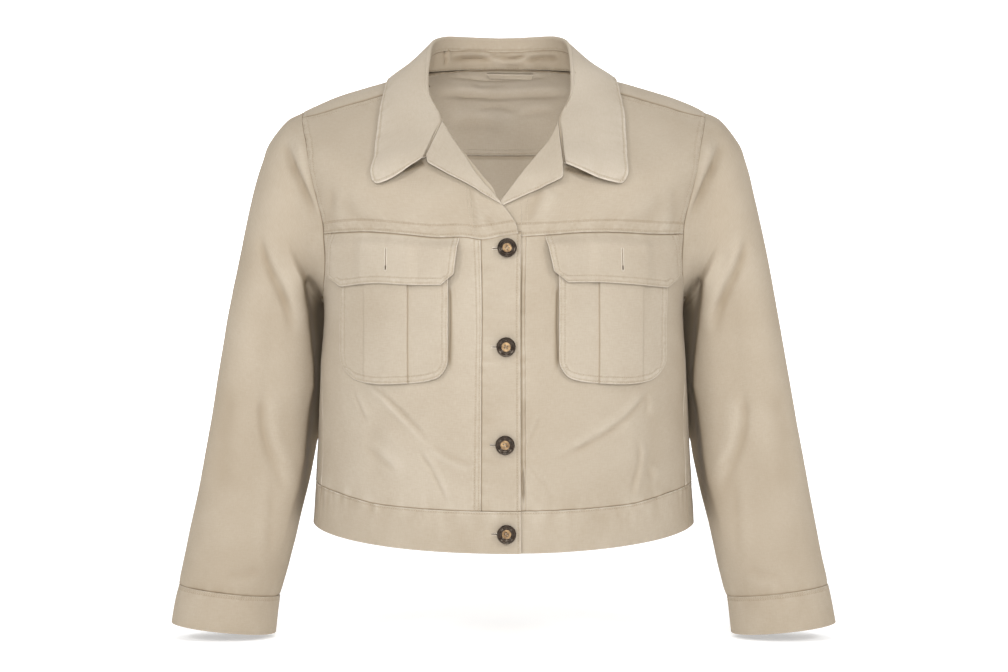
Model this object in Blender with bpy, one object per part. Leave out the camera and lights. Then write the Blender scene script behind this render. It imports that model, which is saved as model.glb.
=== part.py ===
"""Cropped military jacket, hollow as when worn, made of its cut pieces on a general figure.

Metres, +Z up. The wearer faces -Y and the wearer's right is at -X. The origin is in the middle of
the neck, at the height where the wearer's shoulders hold the jacket.
"""
import math

import bmesh
import bpy
import numpy as np
from mathutils import Matrix, Vector

RIGHT = -1
LEFT = 1

# Cloth and gaps
TWILL = 0.0016  # one panel of cloth with its seam turnings
DOUBLED = 0.0024  # cloth sewn double: bands, plackets, cuffs, lapels
COLLAR_WALL = 0.0018
STAND_WALL = 0.0012
SEAM = 0.0003  # gap between two pieces sewn edge to edge
LAID = 0.0006  # gap under a piece that lies on another

# The figure's form as level rings. Each row is a ring: its level, the depth and height of its front,
# the width, depth and height of its side, and the depth and height of its back.
FORM = np.array([
    # level, front_y, front_z, side_x, side_y, side_z, back_y, back_z
    (0.00, -0.138, -0.4765, 0.2022, 0.010, -0.4560, 0.116, -0.4600),  # hem
    (0.09, -0.140, -0.434, 0.1996, 0.010, -0.4175, 0.115, -0.4205),  # hem band seam
    (0.24, -0.143, -0.360, 0.1962, 0.010, -0.3500, 0.111, -0.3530),  # waist
    (0.38, -0.146, -0.296, 0.1945, 0.010, -0.2920, 0.113, -0.2940),  # below the pockets
    (0.54, -0.146, -0.226, 0.1910, 0.010, -0.2230, 0.121, -0.2240),  # underarm
    (0.68, -0.137, -0.158, 0.2035, 0.012, -0.1500, 0.125, -0.1400),  # front yoke seam
    (0.84, -0.128, -0.115, 0.2165, 0.012, -0.0230, 0.112, -0.0500),  # shoulder tip
    (0.88, -0.125, -0.107, 0.1860, 0.011, -0.0080, 0.104, -0.0270),  # outer shoulder
    (0.93, -0.122, -0.099, 0.1420, 0.008, 0.0058, 0.092, 0.0010),  # middle of the shoulder
    (1.00, -0.114, -0.085, 0.0840, 0.002, 0.0205, 0.067, 0.0310),  # neck seam
])
SHOULDER_ROUND = 0.22  # how softly front and back meet along the shoulder line
HEM, BAND_SEAM, YOKE_SEAM, NECK = 0.0, 0.09, 0.68, 1.0
BAND_SIDE = 73  # degrees from the front, where the hem band's lengths meet
SIDE_SEAM = np.array([
    # degrees from the front, level
    (73.0, BAND_SEAM), (74.0, 0.24), (79.0, 0.38), (86.0, 0.552),
])
SHOULDER_SEAM = 80
PLACKET_SEAM = 6.5
FRONT_EDGE = 5.0  # how far each front runs past the centre
UNDERLAP = 0.0032  # how far the left front edge lies inside the right one
OVERLAP = 0.0016  # how far the right front edge stands out

# Armhole seam: degrees round the figure, level, and degrees round the sleeve
ARMHOLE = {
    "shoulder seam": (SHOULDER_SEAM, 0.842, 24),
    "front upper": (65.5, 0.820, 50),
    "front middle": (61.5, 0.772, 74),
    "front yoke": (66.5, YOKE_SEAM, 105),
    "front lower": (69.0, 0.634, 122),
    "front under": (75.0, 0.590, 142),
    "side seam": (86.0, 0.552, 170),
    "back under": (99.0, 0.560, 198),
    "back lower": (110.0, 0.596, 222),
    "back middle": (117.0, 0.670, 254),
    "back yoke": (112.0, 0.790, 306),
    "ridge": (95.0, 0.840, 354),
}
BACK_YOKE_SEAM = np.array([(112.0, 0.790), (145.0, 0.814), (180.0, 0.820), (215.0, 0.814), (248.0, 0.790)])

# Front edge above the yoke seam and the neck seam, as degrees from the front and level
FRONT_OPENING = np.array([
    (-4.2, YOKE_SEAM), (-3.4, 0.712), (-1.6, 0.748), (1.0, 0.800), (3.4, 0.872), (10.3, 0.946), (22.3, 0.988),
    (37.0, NECK), (50.0, NECK), (66.0, NECK), (SHOULDER_SEAM, NECK),
])

# Sleeve sections from the seam at the armhole to the cuff, and the cuff's own
SLEEVE = np.array([
    # along, outer_x, outer_y, outer_z, inner_x, inner_y, inner_z, half_depth
    (0.03, 0.2305, 0.014, -0.0285, 0.1925, 0.019, -0.2215, 0.062),
    (0.06, 0.2475, 0.014, -0.0495, 0.1916, 0.026, -0.2235, 0.064),
    (0.11, 0.2562, 0.012, -0.0730, 0.1914, 0.034, -0.2280, 0.066),
    (0.20, 0.2680, 0.008, -0.1170, 0.1918, 0.041, -0.2380, 0.066),
    (0.34, 0.2830, 0.000, -0.1992, 0.1922, 0.045, -0.2660, 0.061),
    (0.50, 0.2976, -0.006, -0.2850, 0.1925, 0.043, -0.3140, 0.056),
    (0.66, 0.3118, -0.010, -0.3688, 0.2010, 0.030, -0.3840, 0.051),
    (0.83, 0.3274, -0.014, -0.4536, 0.2190, 0.004, -0.4630, 0.047),
    (1.00, 0.3412, -0.018, -0.5204, 0.2362, -0.008, -0.5345, 0.043),
])
CUFF = np.array([
    (1.00, 0.3412, -0.018, -0.5206, 0.2362, -0.008, -0.5347, 0.0430),
    (1.50, 0.3456, -0.019, -0.5420, 0.2385, -0.010, -0.5545, 0.0435),
    (2.00, 0.3500, -0.020, -0.5635, 0.2405, -0.012, -0.5745, 0.0440),
])


# The fold down the front of each sleeve: the degrees round the sleeve where it drops back, and how far
SLEEVE_FOLD = np.array([
    # along, turn, depth
    (0.00, 112, 0.000),
    (0.08, 114, 0.004),
    (0.16, 119, 0.026),
    (0.32, 128, 0.034),
    (0.50, 140, 0.034),
    (0.66, 142, 0.022),
    (0.85, 142, 0.000),
    (1.00, 140, 0.000),
])
CUFF_STAND = 0.0004  # how far the doubled cuff stands out past the sleeve

# Gorge seam between lapel and collar, and the lapels, seen from the front as x from the centre and height
GORGE = {
    RIGHT: np.array([(0.0622, -0.0386), (0.0777, -0.0778)]),
    LEFT: np.array([(0.0555, -0.0387), (0.0592, -0.0845)]),
}
LAPEL_ROLL = {
    RIGHT: [(0.0040, -0.1233), (0.0146, -0.1099), (0.0267, -0.0954), (0.0380, -0.0772), (0.0505, -0.0586)],
    LEFT: [(-0.0008, -0.1195), (0.0084, -0.1067), (0.0197, -0.0923), (0.0317, -0.0773), (0.0464, -0.0587)],
}
LAPEL_EDGE = {
    RIGHT: [(0.0020, -0.1272), (0.0193, -0.1171), (0.0343, -0.1078), (0.0570, -0.0968), (0.0765, -0.0864)],
    LEFT: [(0.0024, -0.1255), (0.0152, -0.1208), (0.0373, -0.1113), (0.0490, -0.1063), (0.0594, -0.1016)],
}

# Collar rows from the centre back to the gorge: the inner line of the roll, the roll's radius, the strip that
# turns down inside, the place on the neck seam, and the leaf's free edge on the figure with its lift and bulge
COLLAR_COLUMNS = "roll_x roll_y roll_z radius strip seam_angle leaf_angle leaf_level lift bulge"
COLLAR_BACK = [
    # along, roll_x, roll_y, roll_z, radius, strip, seam_angle, leaf_angle, leaf_level, lift, bulge
    (0.00, 0.0000, 0.0690, 0.0642, 0.0026, 0.010, 180.0, 180.0, 0.955, 0.0055, 0.002),
    (0.16, 0.0360, 0.0615, 0.0640, 0.0026, 0.010, 150.0, 152.0, 0.954, 0.0050, 0.002),
    (0.32, 0.0600, 0.0420, 0.0612, 0.0026, 0.010, 122.0, 124.0, 0.955, 0.0040, 0.001),
    (0.46, 0.0708, 0.0155, 0.0510, 0.0026, 0.010, 100.0, 100.0, 0.957, 0.0034, 0.000),
    (0.58, 0.0735, -0.0130, 0.0295, 0.0028, 0.007, 84.0, 80.0, 0.951, 0.0038, 0.002),
    (0.70, 0.0728, -0.0455, -0.0050, 0.0020, 0.003, 69.0, 63.0, 0.931, 0.0042, 0.004),
]
GORGE_STARTS = 0.82
LEAF_FRONT = {
    # along, leaf_angle, leaf_level, lift, bulge
    RIGHT: [
        (0.82, 50.4, 0.897, 0.0042, 0.005),
        (0.92, 41.2, 0.860, 0.0042, 0.005),
        (1.00, 34.6, 0.806, 0.0042, 0.005),
    ],
    LEFT: [
        (0.82, 49.4, 0.903, 0.0042, 0.005),
        (0.92, 39.8, 0.869, 0.0042, 0.005),
        (1.00, 32.0, 0.815, 0.0042, 0.005),
    ],
}
COLLAR_SHIFT = -0.0040  # the roll sits a little to the wearer's right
LEAF_SHORTER = {RIGHT: 0.0, LEFT: 0.007}  # how many levels shorter each leaf is over the shoulder

# Pockets and flaps, seen from the front as x from the centre and height
POCKET = {"inner": 0.0545, "pleat_inner": 0.0952, "pleat_outer": 0.1402, "outer": 0.1668, "top": -0.172,
          "bottom": -0.307, "corner": 0.024}
PLEAT_RAISE = 0.0020
POCKET_STAND = 0.0025  # the edge by the centre front stands off the panel
FLAP_ROWS = np.array([
    # height at the inner edge, height at the outer edge, inner_x, outer_x
    (-0.1600, -0.1570, 0.0440, 0.1822),
    (-0.1780, -0.1760, 0.0458, 0.1826),
    (-0.1960, -0.1950, 0.0482, 0.1828),
    (-0.2080, -0.2075, 0.0642, 0.1650),
])

# Buttons, as x and height on the right front
BUTTON_PLACES = [(0.0035, -0.1697), (0.0025, -0.2695), (0.0015, -0.3673), (0.0030, -0.4563)]
BUTTON_PROFILE = [(0.0, 0.0002), (0.0080, 0.0002), (0.0093, 0.0010), (0.0097, 0.0020), (0.0093, 0.0032),
                  (0.0080, 0.0036), (0.0064, 0.0030), (0.0050, 0.0026), (0.0, 0.0025)]

# Largest folds: ends seen from the front as x and height, half width and height of the ridge, and face
FOLDS = np.array([
    # x0, z0, x1, z1, half_width, raise, face
    (-0.131, -0.310, -0.071, -0.372, 0.014, 0.0030, -1),
    (-0.071, -0.372, -0.030, -0.388, 0.012, 0.0022, -1),
    (-0.089, -0.372, -0.057, -0.428, 0.013, 0.0022, -1),
    (0.151, -0.320, 0.087, -0.367, 0.014, 0.0030, -1),
    (0.087, -0.367, 0.052, -0.383, 0.012, 0.0022, -1),
    (0.136, -0.385, 0.126, -0.428, 0.013, 0.0020, -1),
    (-0.105, -0.120, -0.080, -0.400, 0.018, 0.0035, 1),
    (0.100, -0.130, 0.085, -0.410, 0.018, 0.0035, 1),
    (-0.020, -0.230, 0.050, -0.330, 0.016, 0.0025, 1),
])

BEIGE = (0.600, 0.520, 0.412)
HORN = (0.040, 0.028, 0.020)


def smooth_through(keys, values, at):
    """Values between the keys on one smooth curve, with the slope at each key set by its neighbours."""
    keys = np.asarray(keys, float)
    values = np.asarray(values, float)
    step = np.diff(keys)
    rise = np.diff(values, axis=0) / step[:, None]
    slope = np.empty_like(values)
    slope[0] = rise[0]
    slope[-1] = rise[-1]
    before, after = step[:-1, None], step[1:, None]
    slope[1:-1] = (rise[:-1] * after + rise[1:] * before) / (before + after)
    at = np.asarray(at, float)
    place = np.clip(np.searchsorted(keys, at, side="right") - 1, 0, len(step) - 1)
    span = step[place][..., None]
    t = (at - keys[place])[..., None] / span
    ends = values[place] * (1 + 2 * t) * (1 - t) ** 2 + values[place + 1] * t ** 2 * (3 - 2 * t)
    return ends + span * (slope[place] * t * (1 - t) ** 2 - slope[place + 1] * t ** 2 * (1 - t))


def unit(runs):
    """Directions of length one."""
    return runs / np.linalg.norm(runs, axis=-1, keepdims=True)


def ease(share):
    """A soft step from 0 to 1."""
    share = np.clip(share, 0.0, 1.0)
    return share * share * (3 - 2 * share)


def body(angle, level):
    """Points of the figure's form: degrees round it (0 in front, 90 at the wearer's left) and level."""
    angle, level = np.broadcast_arrays(np.asarray(angle, float), np.asarray(level, float))
    columns = np.moveaxis(smooth_through(FORM[:, 0], FORM[:, 1:], level), -1, 0)
    front_y, front_z, side_x, side_y, side_z, back_y, back_z = columns
    turn = np.radians(angle)
    ahead = np.cos(turn)
    end_y = np.where(ahead >= 0, front_y, back_y)
    end_z = np.where(ahead >= 0, front_z, back_z)
    full = math.hypot(1, SHOULDER_ROUND) - SHOULDER_ROUND
    lift = (np.hypot(ahead, SHOULDER_ROUND) - SHOULDER_ROUND) / full
    across = side_x * np.sin(turn)
    return np.stack([across, side_y + (end_y - side_y) * np.abs(ahead), side_z + (end_z - side_z) * lift], -1)


def body_normal(angle, level):
    """Outward directions of the form."""
    angle, level = np.broadcast_arrays(np.asarray(angle, float), np.asarray(level, float))
    across = body(angle + 0.5, level) - body(angle - 0.5, level)
    up = body(angle, level + 0.004) - body(angle, level - 0.004)
    return unit(np.cross(across, up))


def folds(points):
    """How far the largest folds move the cloth out at these points."""
    moved = np.zeros(points.shape[:-1])
    for x0, z0, x1, z1, half_width, height, face in FOLDS:
        run = np.array([x1 - x0, z1 - z0])
        from_start = points[..., [0, 2]] - (x0, z0)
        share = from_start @ run / (run @ run)
        away = np.linalg.norm(from_start - np.clip(share, 0, 1)[..., None] * run, axis=-1)
        here = np.where(points[..., 1] * face > 0, 1.0, 0.0)
        moved += here * height * np.exp(-(away / half_width) ** 2)
    return moved


def on_body(angle, level, out=0.0):
    """Points on the draped form, moved out along its normal."""
    points = body(angle, level)
    away = np.asarray(out) + folds(points)
    return points + away[..., None] * body_normal(angle, level)


def at_front(x, z):
    """Degrees and level of the form's points that are seen from the front at x and height z."""
    x, z = np.broadcast_arrays(np.asarray(x, float), np.asarray(z, float))
    low = np.zeros(x.shape)
    high = np.full(x.shape, 1.04)
    for _ in range(40):
        level = (low + high) / 2
        side_x = smooth_through(FORM[:, 0], FORM[:, 3:4], level)[..., 0]
        angle = np.degrees(np.arcsin(np.clip(x / side_x, -1, 1)))
        below = body(angle, level)[..., 2] < z
        low = np.where(below, level, low)
        high = np.where(below, high, level)
    return angle, level


def lap(angle, side):
    """How far the fronts move out or in where the right one laps over the left."""
    if side == RIGHT:
        return OVERLAP * ease((np.asarray(angle) + PLACKET_SEAM) / 10)
    return -UNDERLAP * ease((13 - np.asarray(angle)) / 18)


def run_through(points, count):
    """A smooth run of count steps through a few points, even along its length."""
    points = np.asarray(points, float)
    keys = np.concatenate([[0], np.cumsum(np.linalg.norm(np.diff(points, axis=0), axis=1))])
    fine = smooth_through(keys, points, np.linspace(0, keys[-1], 20 * len(points)))
    length = np.concatenate([[0], np.cumsum(np.linalg.norm(np.diff(fine, axis=0), axis=1))])
    even = np.linspace(0, length[-1], count + 1)
    return np.stack([np.interp(even, length, fine[:, k]) for k in range(fine.shape[1])], -1)


def patch(bottom, top, left, right, hold=1):
    """A grid that fills four edges, each a run of points, rows from the bottom up. A side edge's own shape
    fades out across the grid, the sooner the more hold there is."""
    u = np.linspace(0, 1, len(bottom))[None, :, None]
    v = np.linspace(0, 1, len(left))[:, None, None]
    ruled = (1 - v) * bottom[None] + v * top[None]
    from_left = (1 - u) ** hold * (left[:, None] - ruled[:, :1])
    from_right = u ** hold * (right[:, None] - ruled[:, -1:])
    return ruled + from_left + from_right


def drawn_in(points, gap=SEAM / 2):
    """The grid with its four edges drawn in by half a seam gap."""
    points = points.copy()
    for edge, near in ((0, 1), (-1, -2)):
        for swap in (False, True):
            view = points.swapaxes(0, 1) if swap else points
            along = unit(np.gradient(view[edge], axis=0))
            run = view[near] - view[edge]
            view[edge] += unit(run - along * np.sum(run * along, -1, keepdims=True)) * gap
    return points


def material(name, colour, roughness):
    """A plain material for one piece."""
    made = bpy.data.materials.new(name)
    made.use_nodes = True
    shader = made.node_tree.nodes["Principled BSDF"]
    shader.inputs["Base Color"].default_value = (*colour, 1.0)
    shader.inputs["Roughness"].default_value = roughness
    shader.inputs["Metallic"].default_value = 0.0
    return made


def add_object(name, mesh, colour=BEIGE, roughness=0.9):
    """Adds a named piece with its own material under the jacket."""
    made = bpy.data.objects.new(name, mesh)
    mesh.materials.append(material(name, colour, roughness))
    bpy.context.scene.collection.objects.link(made)
    made.parent = jacket
    return made


def cloth(name, outer, inner, ring=False):
    """A closed wall of cloth between an outer and an inner grid of points; a ring closes on itself."""
    rows, columns = outer.shape[:2]
    work = bmesh.new()
    faces = [[[work.verts.new(point) for point in row] for row in grid] for grid in (outer, inner)]
    steps = columns if ring else columns - 1
    for grid, order in zip(faces, (1, -1)):
        for row in range(rows - 1):
            for column in range(steps):
                after = (column + 1) % columns
                corners = [grid[row][column], grid[row][after], grid[row + 1][after], grid[row + 1][column]]
                work.faces.new(corners[::order])
    for row, order in ((0, -1), (rows - 1, 1)):
        for column in range(steps):
            after = (column + 1) % columns
            corners = [faces[0][row][column], faces[0][row][after], faces[1][row][after], faces[1][row][column]]
            work.faces.new(corners[::order])
    if not ring:
        for column, order in ((0, 1), (columns - 1, -1)):
            for row in range(rows - 1):
                corners = [faces[0][row][column], faces[0][row + 1][column], faces[1][row + 1][column],
                           faces[1][row][column]]
                work.faces.new(corners[::order])
    bmesh.ops.triangulate(work, faces=work.faces)
    bmesh.ops.recalc_face_normals(work, faces=work.faces)
    for face in work.faces:
        face.smooth = True
    for edge in work.edges:
        edge.smooth = edge.calc_face_angle(0) < math.radians(50)
    mesh = bpy.data.meshes.new(name)
    work.to_mesh(mesh)
    work.free()
    return add_object(name, mesh)


def on_form(name, grid, out=0.0, wall=TWILL):
    """A cloth piece from a grid of degrees and levels, its outer face moved out from the form."""
    outer = drawn_in(on_body(grid[..., 0], grid[..., 1], out))
    inner = drawn_in(on_body(grid[..., 0], grid[..., 1], np.asarray(out) - wall))
    return cloth(name, outer, inner)


def armhole(side, first, last, count):
    """Stations of the armhole seam between two of its named rows: degrees, level, degrees round the sleeve."""
    names = list(ARMHOLE)
    start = names.index(first)
    end = names.index(last)
    if end <= start:
        end += len(names)
    rows = []
    for step in range(-1, len(names) * 2 + 1):
        angle, level, turn = ARMHOLE[names[step % len(names)]]
        rows.append((step, angle, level, turn + 360 * (step // len(names))))
    rows = np.array(rows)
    stations = smooth_through(rows[:, 0], rows[:, 1:], np.linspace(start, end, count + 1))
    stations[:, 0] *= side
    return stations


for old in list(bpy.data.objects):
    bpy.data.objects.remove(old, do_unlink=True)
jacket = bpy.data.objects.new("jacket", None)
bpy.context.scene.collection.objects.link(jacket)

# Steps along each seam, shared by the pieces that meet there
FRONT_STEPS, BACK_STEPS, SIDE_STEPS, SHOULDER_STEPS = 11, 22, 9, 10
ARMHOLE_STEPS = {"yoke": 6, "front": 6, "back": 9, "top": 5}


def level_run(start, end, level, count):
    """Even steps round the figure at one level."""
    return np.stack([np.linspace(start, end, count + 1), np.full(count + 1, level)], -1)


def angle_run(angle, start, end, count):
    """Even steps up the figure at one angle."""
    return np.stack([np.full(count + 1, angle), np.linspace(start, end, count + 1)], -1)


def seam_run(seam, count):
    """Even steps along a seam given as a few degrees and levels; a level counts as much as 100 degrees."""
    return run_through(np.asarray(seam)[:, :2] * (1, 100), count) / (1, 100)


# Fronts, yokes, plackets and front hem bands
for side, word in ((RIGHT, "right"), (LEFT, "left")):
    lower_armhole = armhole(side, "front yoke", "side seam", ARMHOLE_STEPS["front"])[::-1, :2]
    upper_armhole = armhole(side, "shoulder seam", "front yoke", 2 * ARMHOLE_STEPS["yoke"])[::-1, :2]
    side_seam = seam_run(SIDE_SEAM, SIDE_STEPS) * (side, 1)
    outer_edge = np.concatenate([side_seam[:-1], lower_armhole])
    inner_edge = angle_run(side * PLACKET_SEAM, BAND_SEAM, YOKE_SEAM, len(outer_edge) - 1)
    grid = patch(level_run(side * PLACKET_SEAM, side * BAND_SIDE, BAND_SEAM, FRONT_STEPS),
                 level_run(side * PLACKET_SEAM, lower_armhole[-1, 0], YOKE_SEAM, FRONT_STEPS),
                 inner_edge, outer_edge, hold=2)
    on_form(f"front_{word}", grid, lap(grid[..., 0], side))

    opening = seam_run(FRONT_OPENING, 2 * ARMHOLE_STEPS["yoke"]) * (side, 1)
    grid = patch(level_run(opening[0, 0], upper_armhole[0, 0], YOKE_SEAM, SHOULDER_STEPS),
                 np.linspace(opening[-1], upper_armhole[-1], SHOULDER_STEPS + 1), opening, upper_armhole)
    on_form(f"front_yoke_{word}", grid, lap(grid[..., 0], side))

    grid = patch(level_run(-side * FRONT_EDGE, side * PLACKET_SEAM, BAND_SEAM, 4),
                 level_run(-side * FRONT_EDGE, side * PLACKET_SEAM, YOKE_SEAM, 4),
                 angle_run(-side * FRONT_EDGE, BAND_SEAM, YOKE_SEAM, 12),
                 angle_run(side * PLACKET_SEAM, BAND_SEAM, YOKE_SEAM, 12))
    on_form(f"placket_{word}", grid, lap(grid[..., 0], side), DOUBLED)

    grid = patch(level_run(-side * FRONT_EDGE, side * BAND_SIDE, HEM, FRONT_STEPS + 3),
                 level_run(-side * FRONT_EDGE, side * BAND_SIDE, BAND_SEAM, FRONT_STEPS + 3),
                 angle_run(-side * FRONT_EDGE, HEM, BAND_SEAM, 2),
                 angle_run(side * BAND_SIDE, HEM, BAND_SEAM, 2))
    on_form(f"hem_band_{word}", grid, lap(grid[..., 0], side), DOUBLED)

# Back, back yoke and back hem band
lower = armhole(LEFT, "side seam", "back yoke", ARMHOLE_STEPS["back"])[:, :2]
upper = armhole(LEFT, "back yoke", "shoulder seam", ARMHOLE_STEPS["top"])[:, :2]
back_edge = np.concatenate([seam_run(SIDE_SEAM, SIDE_STEPS)[:-1], lower])
yoke_seam = seam_run(BACK_YOKE_SEAM, BACK_STEPS)
shoulder = angle_run(SHOULDER_SEAM, upper[-1, 1], NECK, SHOULDER_STEPS)


def other_side(edge):
    """The same edge on the wearer's right."""
    return np.stack([360 - edge[:, 0], edge[:, 1]], -1)


on_form("back_panel", patch(level_run(BAND_SIDE, 360 - BAND_SIDE, BAND_SEAM, BACK_STEPS), yoke_seam,
                            back_edge, other_side(back_edge), hold=4))
yoke_foot = np.concatenate([upper[:0:-1], yoke_seam, other_side(upper[1:])])
on_form("back_yoke", patch(yoke_foot, level_run(SHOULDER_SEAM, 360 - SHOULDER_SEAM, NECK, len(yoke_foot) - 1),
                           shoulder, other_side(shoulder)))
band_end = angle_run(BAND_SIDE, HEM, BAND_SEAM, 2)
on_form("hem_band_back", patch(level_run(BAND_SIDE, 360 - BAND_SIDE, HEM, BACK_STEPS),
                               level_run(BAND_SIDE, 360 - BAND_SIDE, BAND_SEAM, BACK_STEPS),
                               band_end, other_side(band_end)), wall=DOUBLED)


# Sleeves and cuffs, lofted from the armhole seam through their sections
SLEEVE_ROWS = np.array([0.0, 0.03, 0.07, 0.13, 0.20, 0.29, 0.38, 0.47, 0.56, 0.65, 0.74, 0.83, 0.92, 1.0])


def sleeve_ring(section, turn, side, out=0.0):
    """Points round one sleeve section."""
    outer_x, outer_y, outer_z, inner_x, inner_y, inner_z, half_depth = section
    outer = np.array([side * outer_x, outer_y, outer_z])
    inner = np.array([side * inner_x, inner_y, inner_z])
    half = (outer - inner) / 2
    reach = np.linalg.norm(half)
    turn = np.radians(turn)[:, None]
    across = half * (1 + out / reach) * np.cos(turn)
    return (outer + inner) / 2 + across + np.array([0, -half_depth - out, 0]) * np.sin(turn)


def tube_normals(tube, side):
    """Outward normals of a tube of rings."""
    normal = np.cross(np.gradient(tube, axis=0), np.roll(tube, -1, axis=1) - np.roll(tube, 1, axis=1))
    return -side * unit(normal)


for side, word in ((RIGHT, "right"), (LEFT, "left")):
    parts = [armhole(side, "shoulder seam", "front yoke", ARMHOLE_STEPS["yoke"])[:-1],
             armhole(side, "front yoke", "side seam", ARMHOLE_STEPS["front"])[:-1],
             armhole(side, "side seam", "back yoke", ARMHOLE_STEPS["back"])[:-1],
             armhole(side, "back yoke", "shoulder seam", ARMHOLE_STEPS["top"])[:-1]]
    angle, level, turn = np.concatenate(parts).T
    face = body_normal(angle, level)
    under = ease((0.3 - np.cos(np.radians(turn))) / 0.8)[:, None]
    first = on_body(angle, level) + face * under * 2 * SEAM
    rings = np.stack([first] + [sleeve_ring(row[1:], turn, side) for row in SLEEVE])
    keys = np.concatenate([[0.0], SLEEVE[:, 0]])
    tube = smooth_through(keys, rings.reshape(len(keys), -1), SLEEVE_ROWS).reshape(len(SLEEVE_ROWS), -1, 3)
    fold_turn, fold_depth = smooth_through(SLEEVE_FOLD[:, 0], SLEEVE_FOLD[:, 1:], SLEEVE_ROWS).T[..., None]
    tube[..., 1] += fold_depth * ease((turn - fold_turn) / 18) * ease((235 - turn) / 50)
    normal = tube_normals(tube, side)
    normal[0] = unit(face * (1 - under) + normal[0] * under)
    walls = [tube, tube - normal * TWILL]
    for wall in walls:
        for edge, near in ((0, 1), (-1, -2)):
            wall[edge] += unit(wall[near] - wall[edge]) * 2 * SEAM
    cloth(f"sleeve_{word}", walls[0], walls[1], ring=True)
    outer = np.stack([sleeve_ring(row[1:], turn, side, CUFF_STAND) for row in CUFF])
    inner = np.stack([sleeve_ring(row[1:], turn, side, CUFF_STAND - DOUBLED) for row in CUFF])
    cloth(f"cuff_{word}", outer, inner, ring=True)

# Collar, folded over at its roll, and its stand
COLLAR_ROWS = np.array([
    0.0, 0.08, 0.16, 0.24, 0.32, 0.39, 0.46, 0.52, 0.58, 0.64, 0.70, 0.76, 0.82, 0.88, 0.94, 1.0,
])


def gorge_points(side, share):
    """Points along the collar's side of the gorge seam, lying on the lapel's level."""
    top, end = GORGE[side] + (2 * SEAM, 0)
    view = top + (end - top) * np.asarray(share)[:, None]
    angle, level = at_front(side * view[:, 0], view[:, 1])
    return on_body(angle, level, LAID + COLLAR_WALL) * (side, 1, 1)


def collar_half(side):
    """Cross sections of one half of the collar: its stand from the neck seam up, the strip that turns down
    inside the neck, the roll, and the leaf out to its free edge."""
    rows = np.array(COLLAR_BACK)
    rows[:, 1] += side * COLLAR_SHIFT
    rows[3:, 8] += LEAF_SHORTER[side]
    front = np.array(LEAF_FRONT[side])
    turned = np.zeros((len(front), 3))
    turned[:, 2] = 52.0
    gorge = gorge_points(side, (front[:, 0] - GORGE_STARTS) / (1 - GORGE_STARTS))
    rows = np.concatenate([rows, np.concatenate([front[:, :1], gorge, turned, front[:, 1:]], 1)])
    row = dict(zip(COLLAR_COLUMNS.split(), smooth_through(rows[:, 0], rows[:, 1:], COLLAR_ROWS).T))
    roll = np.stack([row["roll_x"], row["roll_y"], row["roll_z"]], -1)
    at_gorge = COLLAR_ROWS >= GORGE_STARTS
    roll[at_gorge] = gorge_points(side, (COLLAR_ROWS[at_gorge] - GORGE_STARTS) / (1 - GORGE_STARTS))
    leaf = on_body(row["leaf_angle"], row["leaf_level"], row["lift"])
    face = body_normal(row["leaf_angle"], row["leaf_level"])
    seam = body(row["seam_angle"], NECK)
    toward = unit(leaf - roll)
    aside = unit((leaf - roll) * (1, 1, 0))
    radius = row["radius"][:, None]
    flat = 0.0012 * (1 - radius / radius.max())
    inside = roll + unit(seam - roll) * row["strip"][:, None]
    foot = seam + unit(inside - seam) * 2 * SEAM
    section = [foot, (foot + inside) / 2, inside, roll + toward * flat,
               roll + toward * 2 * flat + (aside + (0, 0, 1)) * radius,
               roll + toward * 3 * flat + aside * 2 * radius]
    start = section[-1]
    for share in (0.2, 0.4, 0.6, 0.8, 1.0):
        lift = face * (row["bulge"] * 4 * share * (1 - share))[:, None]
        section.append(start + (leaf - start) * share + lift)
    return np.stack(section, 1) * (side, 1, 1)


def grid_normals(grid):
    """Normals of a grid of points, from the runs along its rows and columns."""
    return unit(np.cross(np.gradient(grid, axis=1), np.gradient(grid, axis=0)))


whole = np.concatenate([collar_half(RIGHT)[::-1], collar_half(LEFT)[1:]])
under = whole + grid_normals(whole) * COLLAR_WALL
cloth("collar", drawn_in(whole[:, 2:]), drawn_in(under[:, 2:]))
stand_back = whole + (under - whole) * STAND_WALL / COLLAR_WALL
cloth("collar_stand", drawn_in(whole[6:-6, :3], SEAM), drawn_in(stand_back[6:-6, :3], SEAM))

# Lapels, the front tops turned out over the yokes
for side, word in ((RIGHT, "right"), (LEFT, "left")):
    top, end = GORGE[side]
    roll = run_through(LAPEL_ROLL[side] + [tuple(top)], 8)
    edge = run_through(LAPEL_EDGE[side], 8)
    gorge = np.concatenate([np.linspace(top, end, 5), edge[-1:]])
    view = patch(np.linspace(roll[0], edge[0], 6), gorge, roll, edge)
    angle, level = at_front(view[..., 0] * side, view[..., 1])
    on_form(f"lapel_{word}", np.stack([angle, level], -1), lap(angle, side) + LAID + COLLAR_WALL, COLLAR_WALL)

# Pockets with a raised box pleat, and their flaps
def pleat(x, past, slope):
    """The share of the pleat's raise at x from the centre: full between its lines, none past them."""
    return ease((x - POCKET["pleat_inner"] + past) / slope) * ease((POCKET["pleat_outer"] + past - x) / slope)


def edge_stand(x):
    """How far the edge by the centre front stands off, fading out towards the pleat."""
    return POCKET_STAND * ease((POCKET["pleat_inner"] - x) / (POCKET["pleat_inner"] - POCKET["inner"]))


def pocket_out(x):
    """How far a pocket's outer face lies off its front, at x from the centre."""
    return LAID + TWILL + PLEAT_RAISE * pleat(x, 0.001, 0.002) + edge_stand(x)


def flap_out(x):
    """How far a flap's outer face lies off the front: over the pocket, then down to the panel beside it."""
    beside = ease((x - POCKET["outer"] - 0.005) / 0.012)
    return 2 * (LAID + TWILL) - TWILL * beside + PLEAT_RAISE * pleat(x, 0.012, 0.012) + edge_stand(x)


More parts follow.
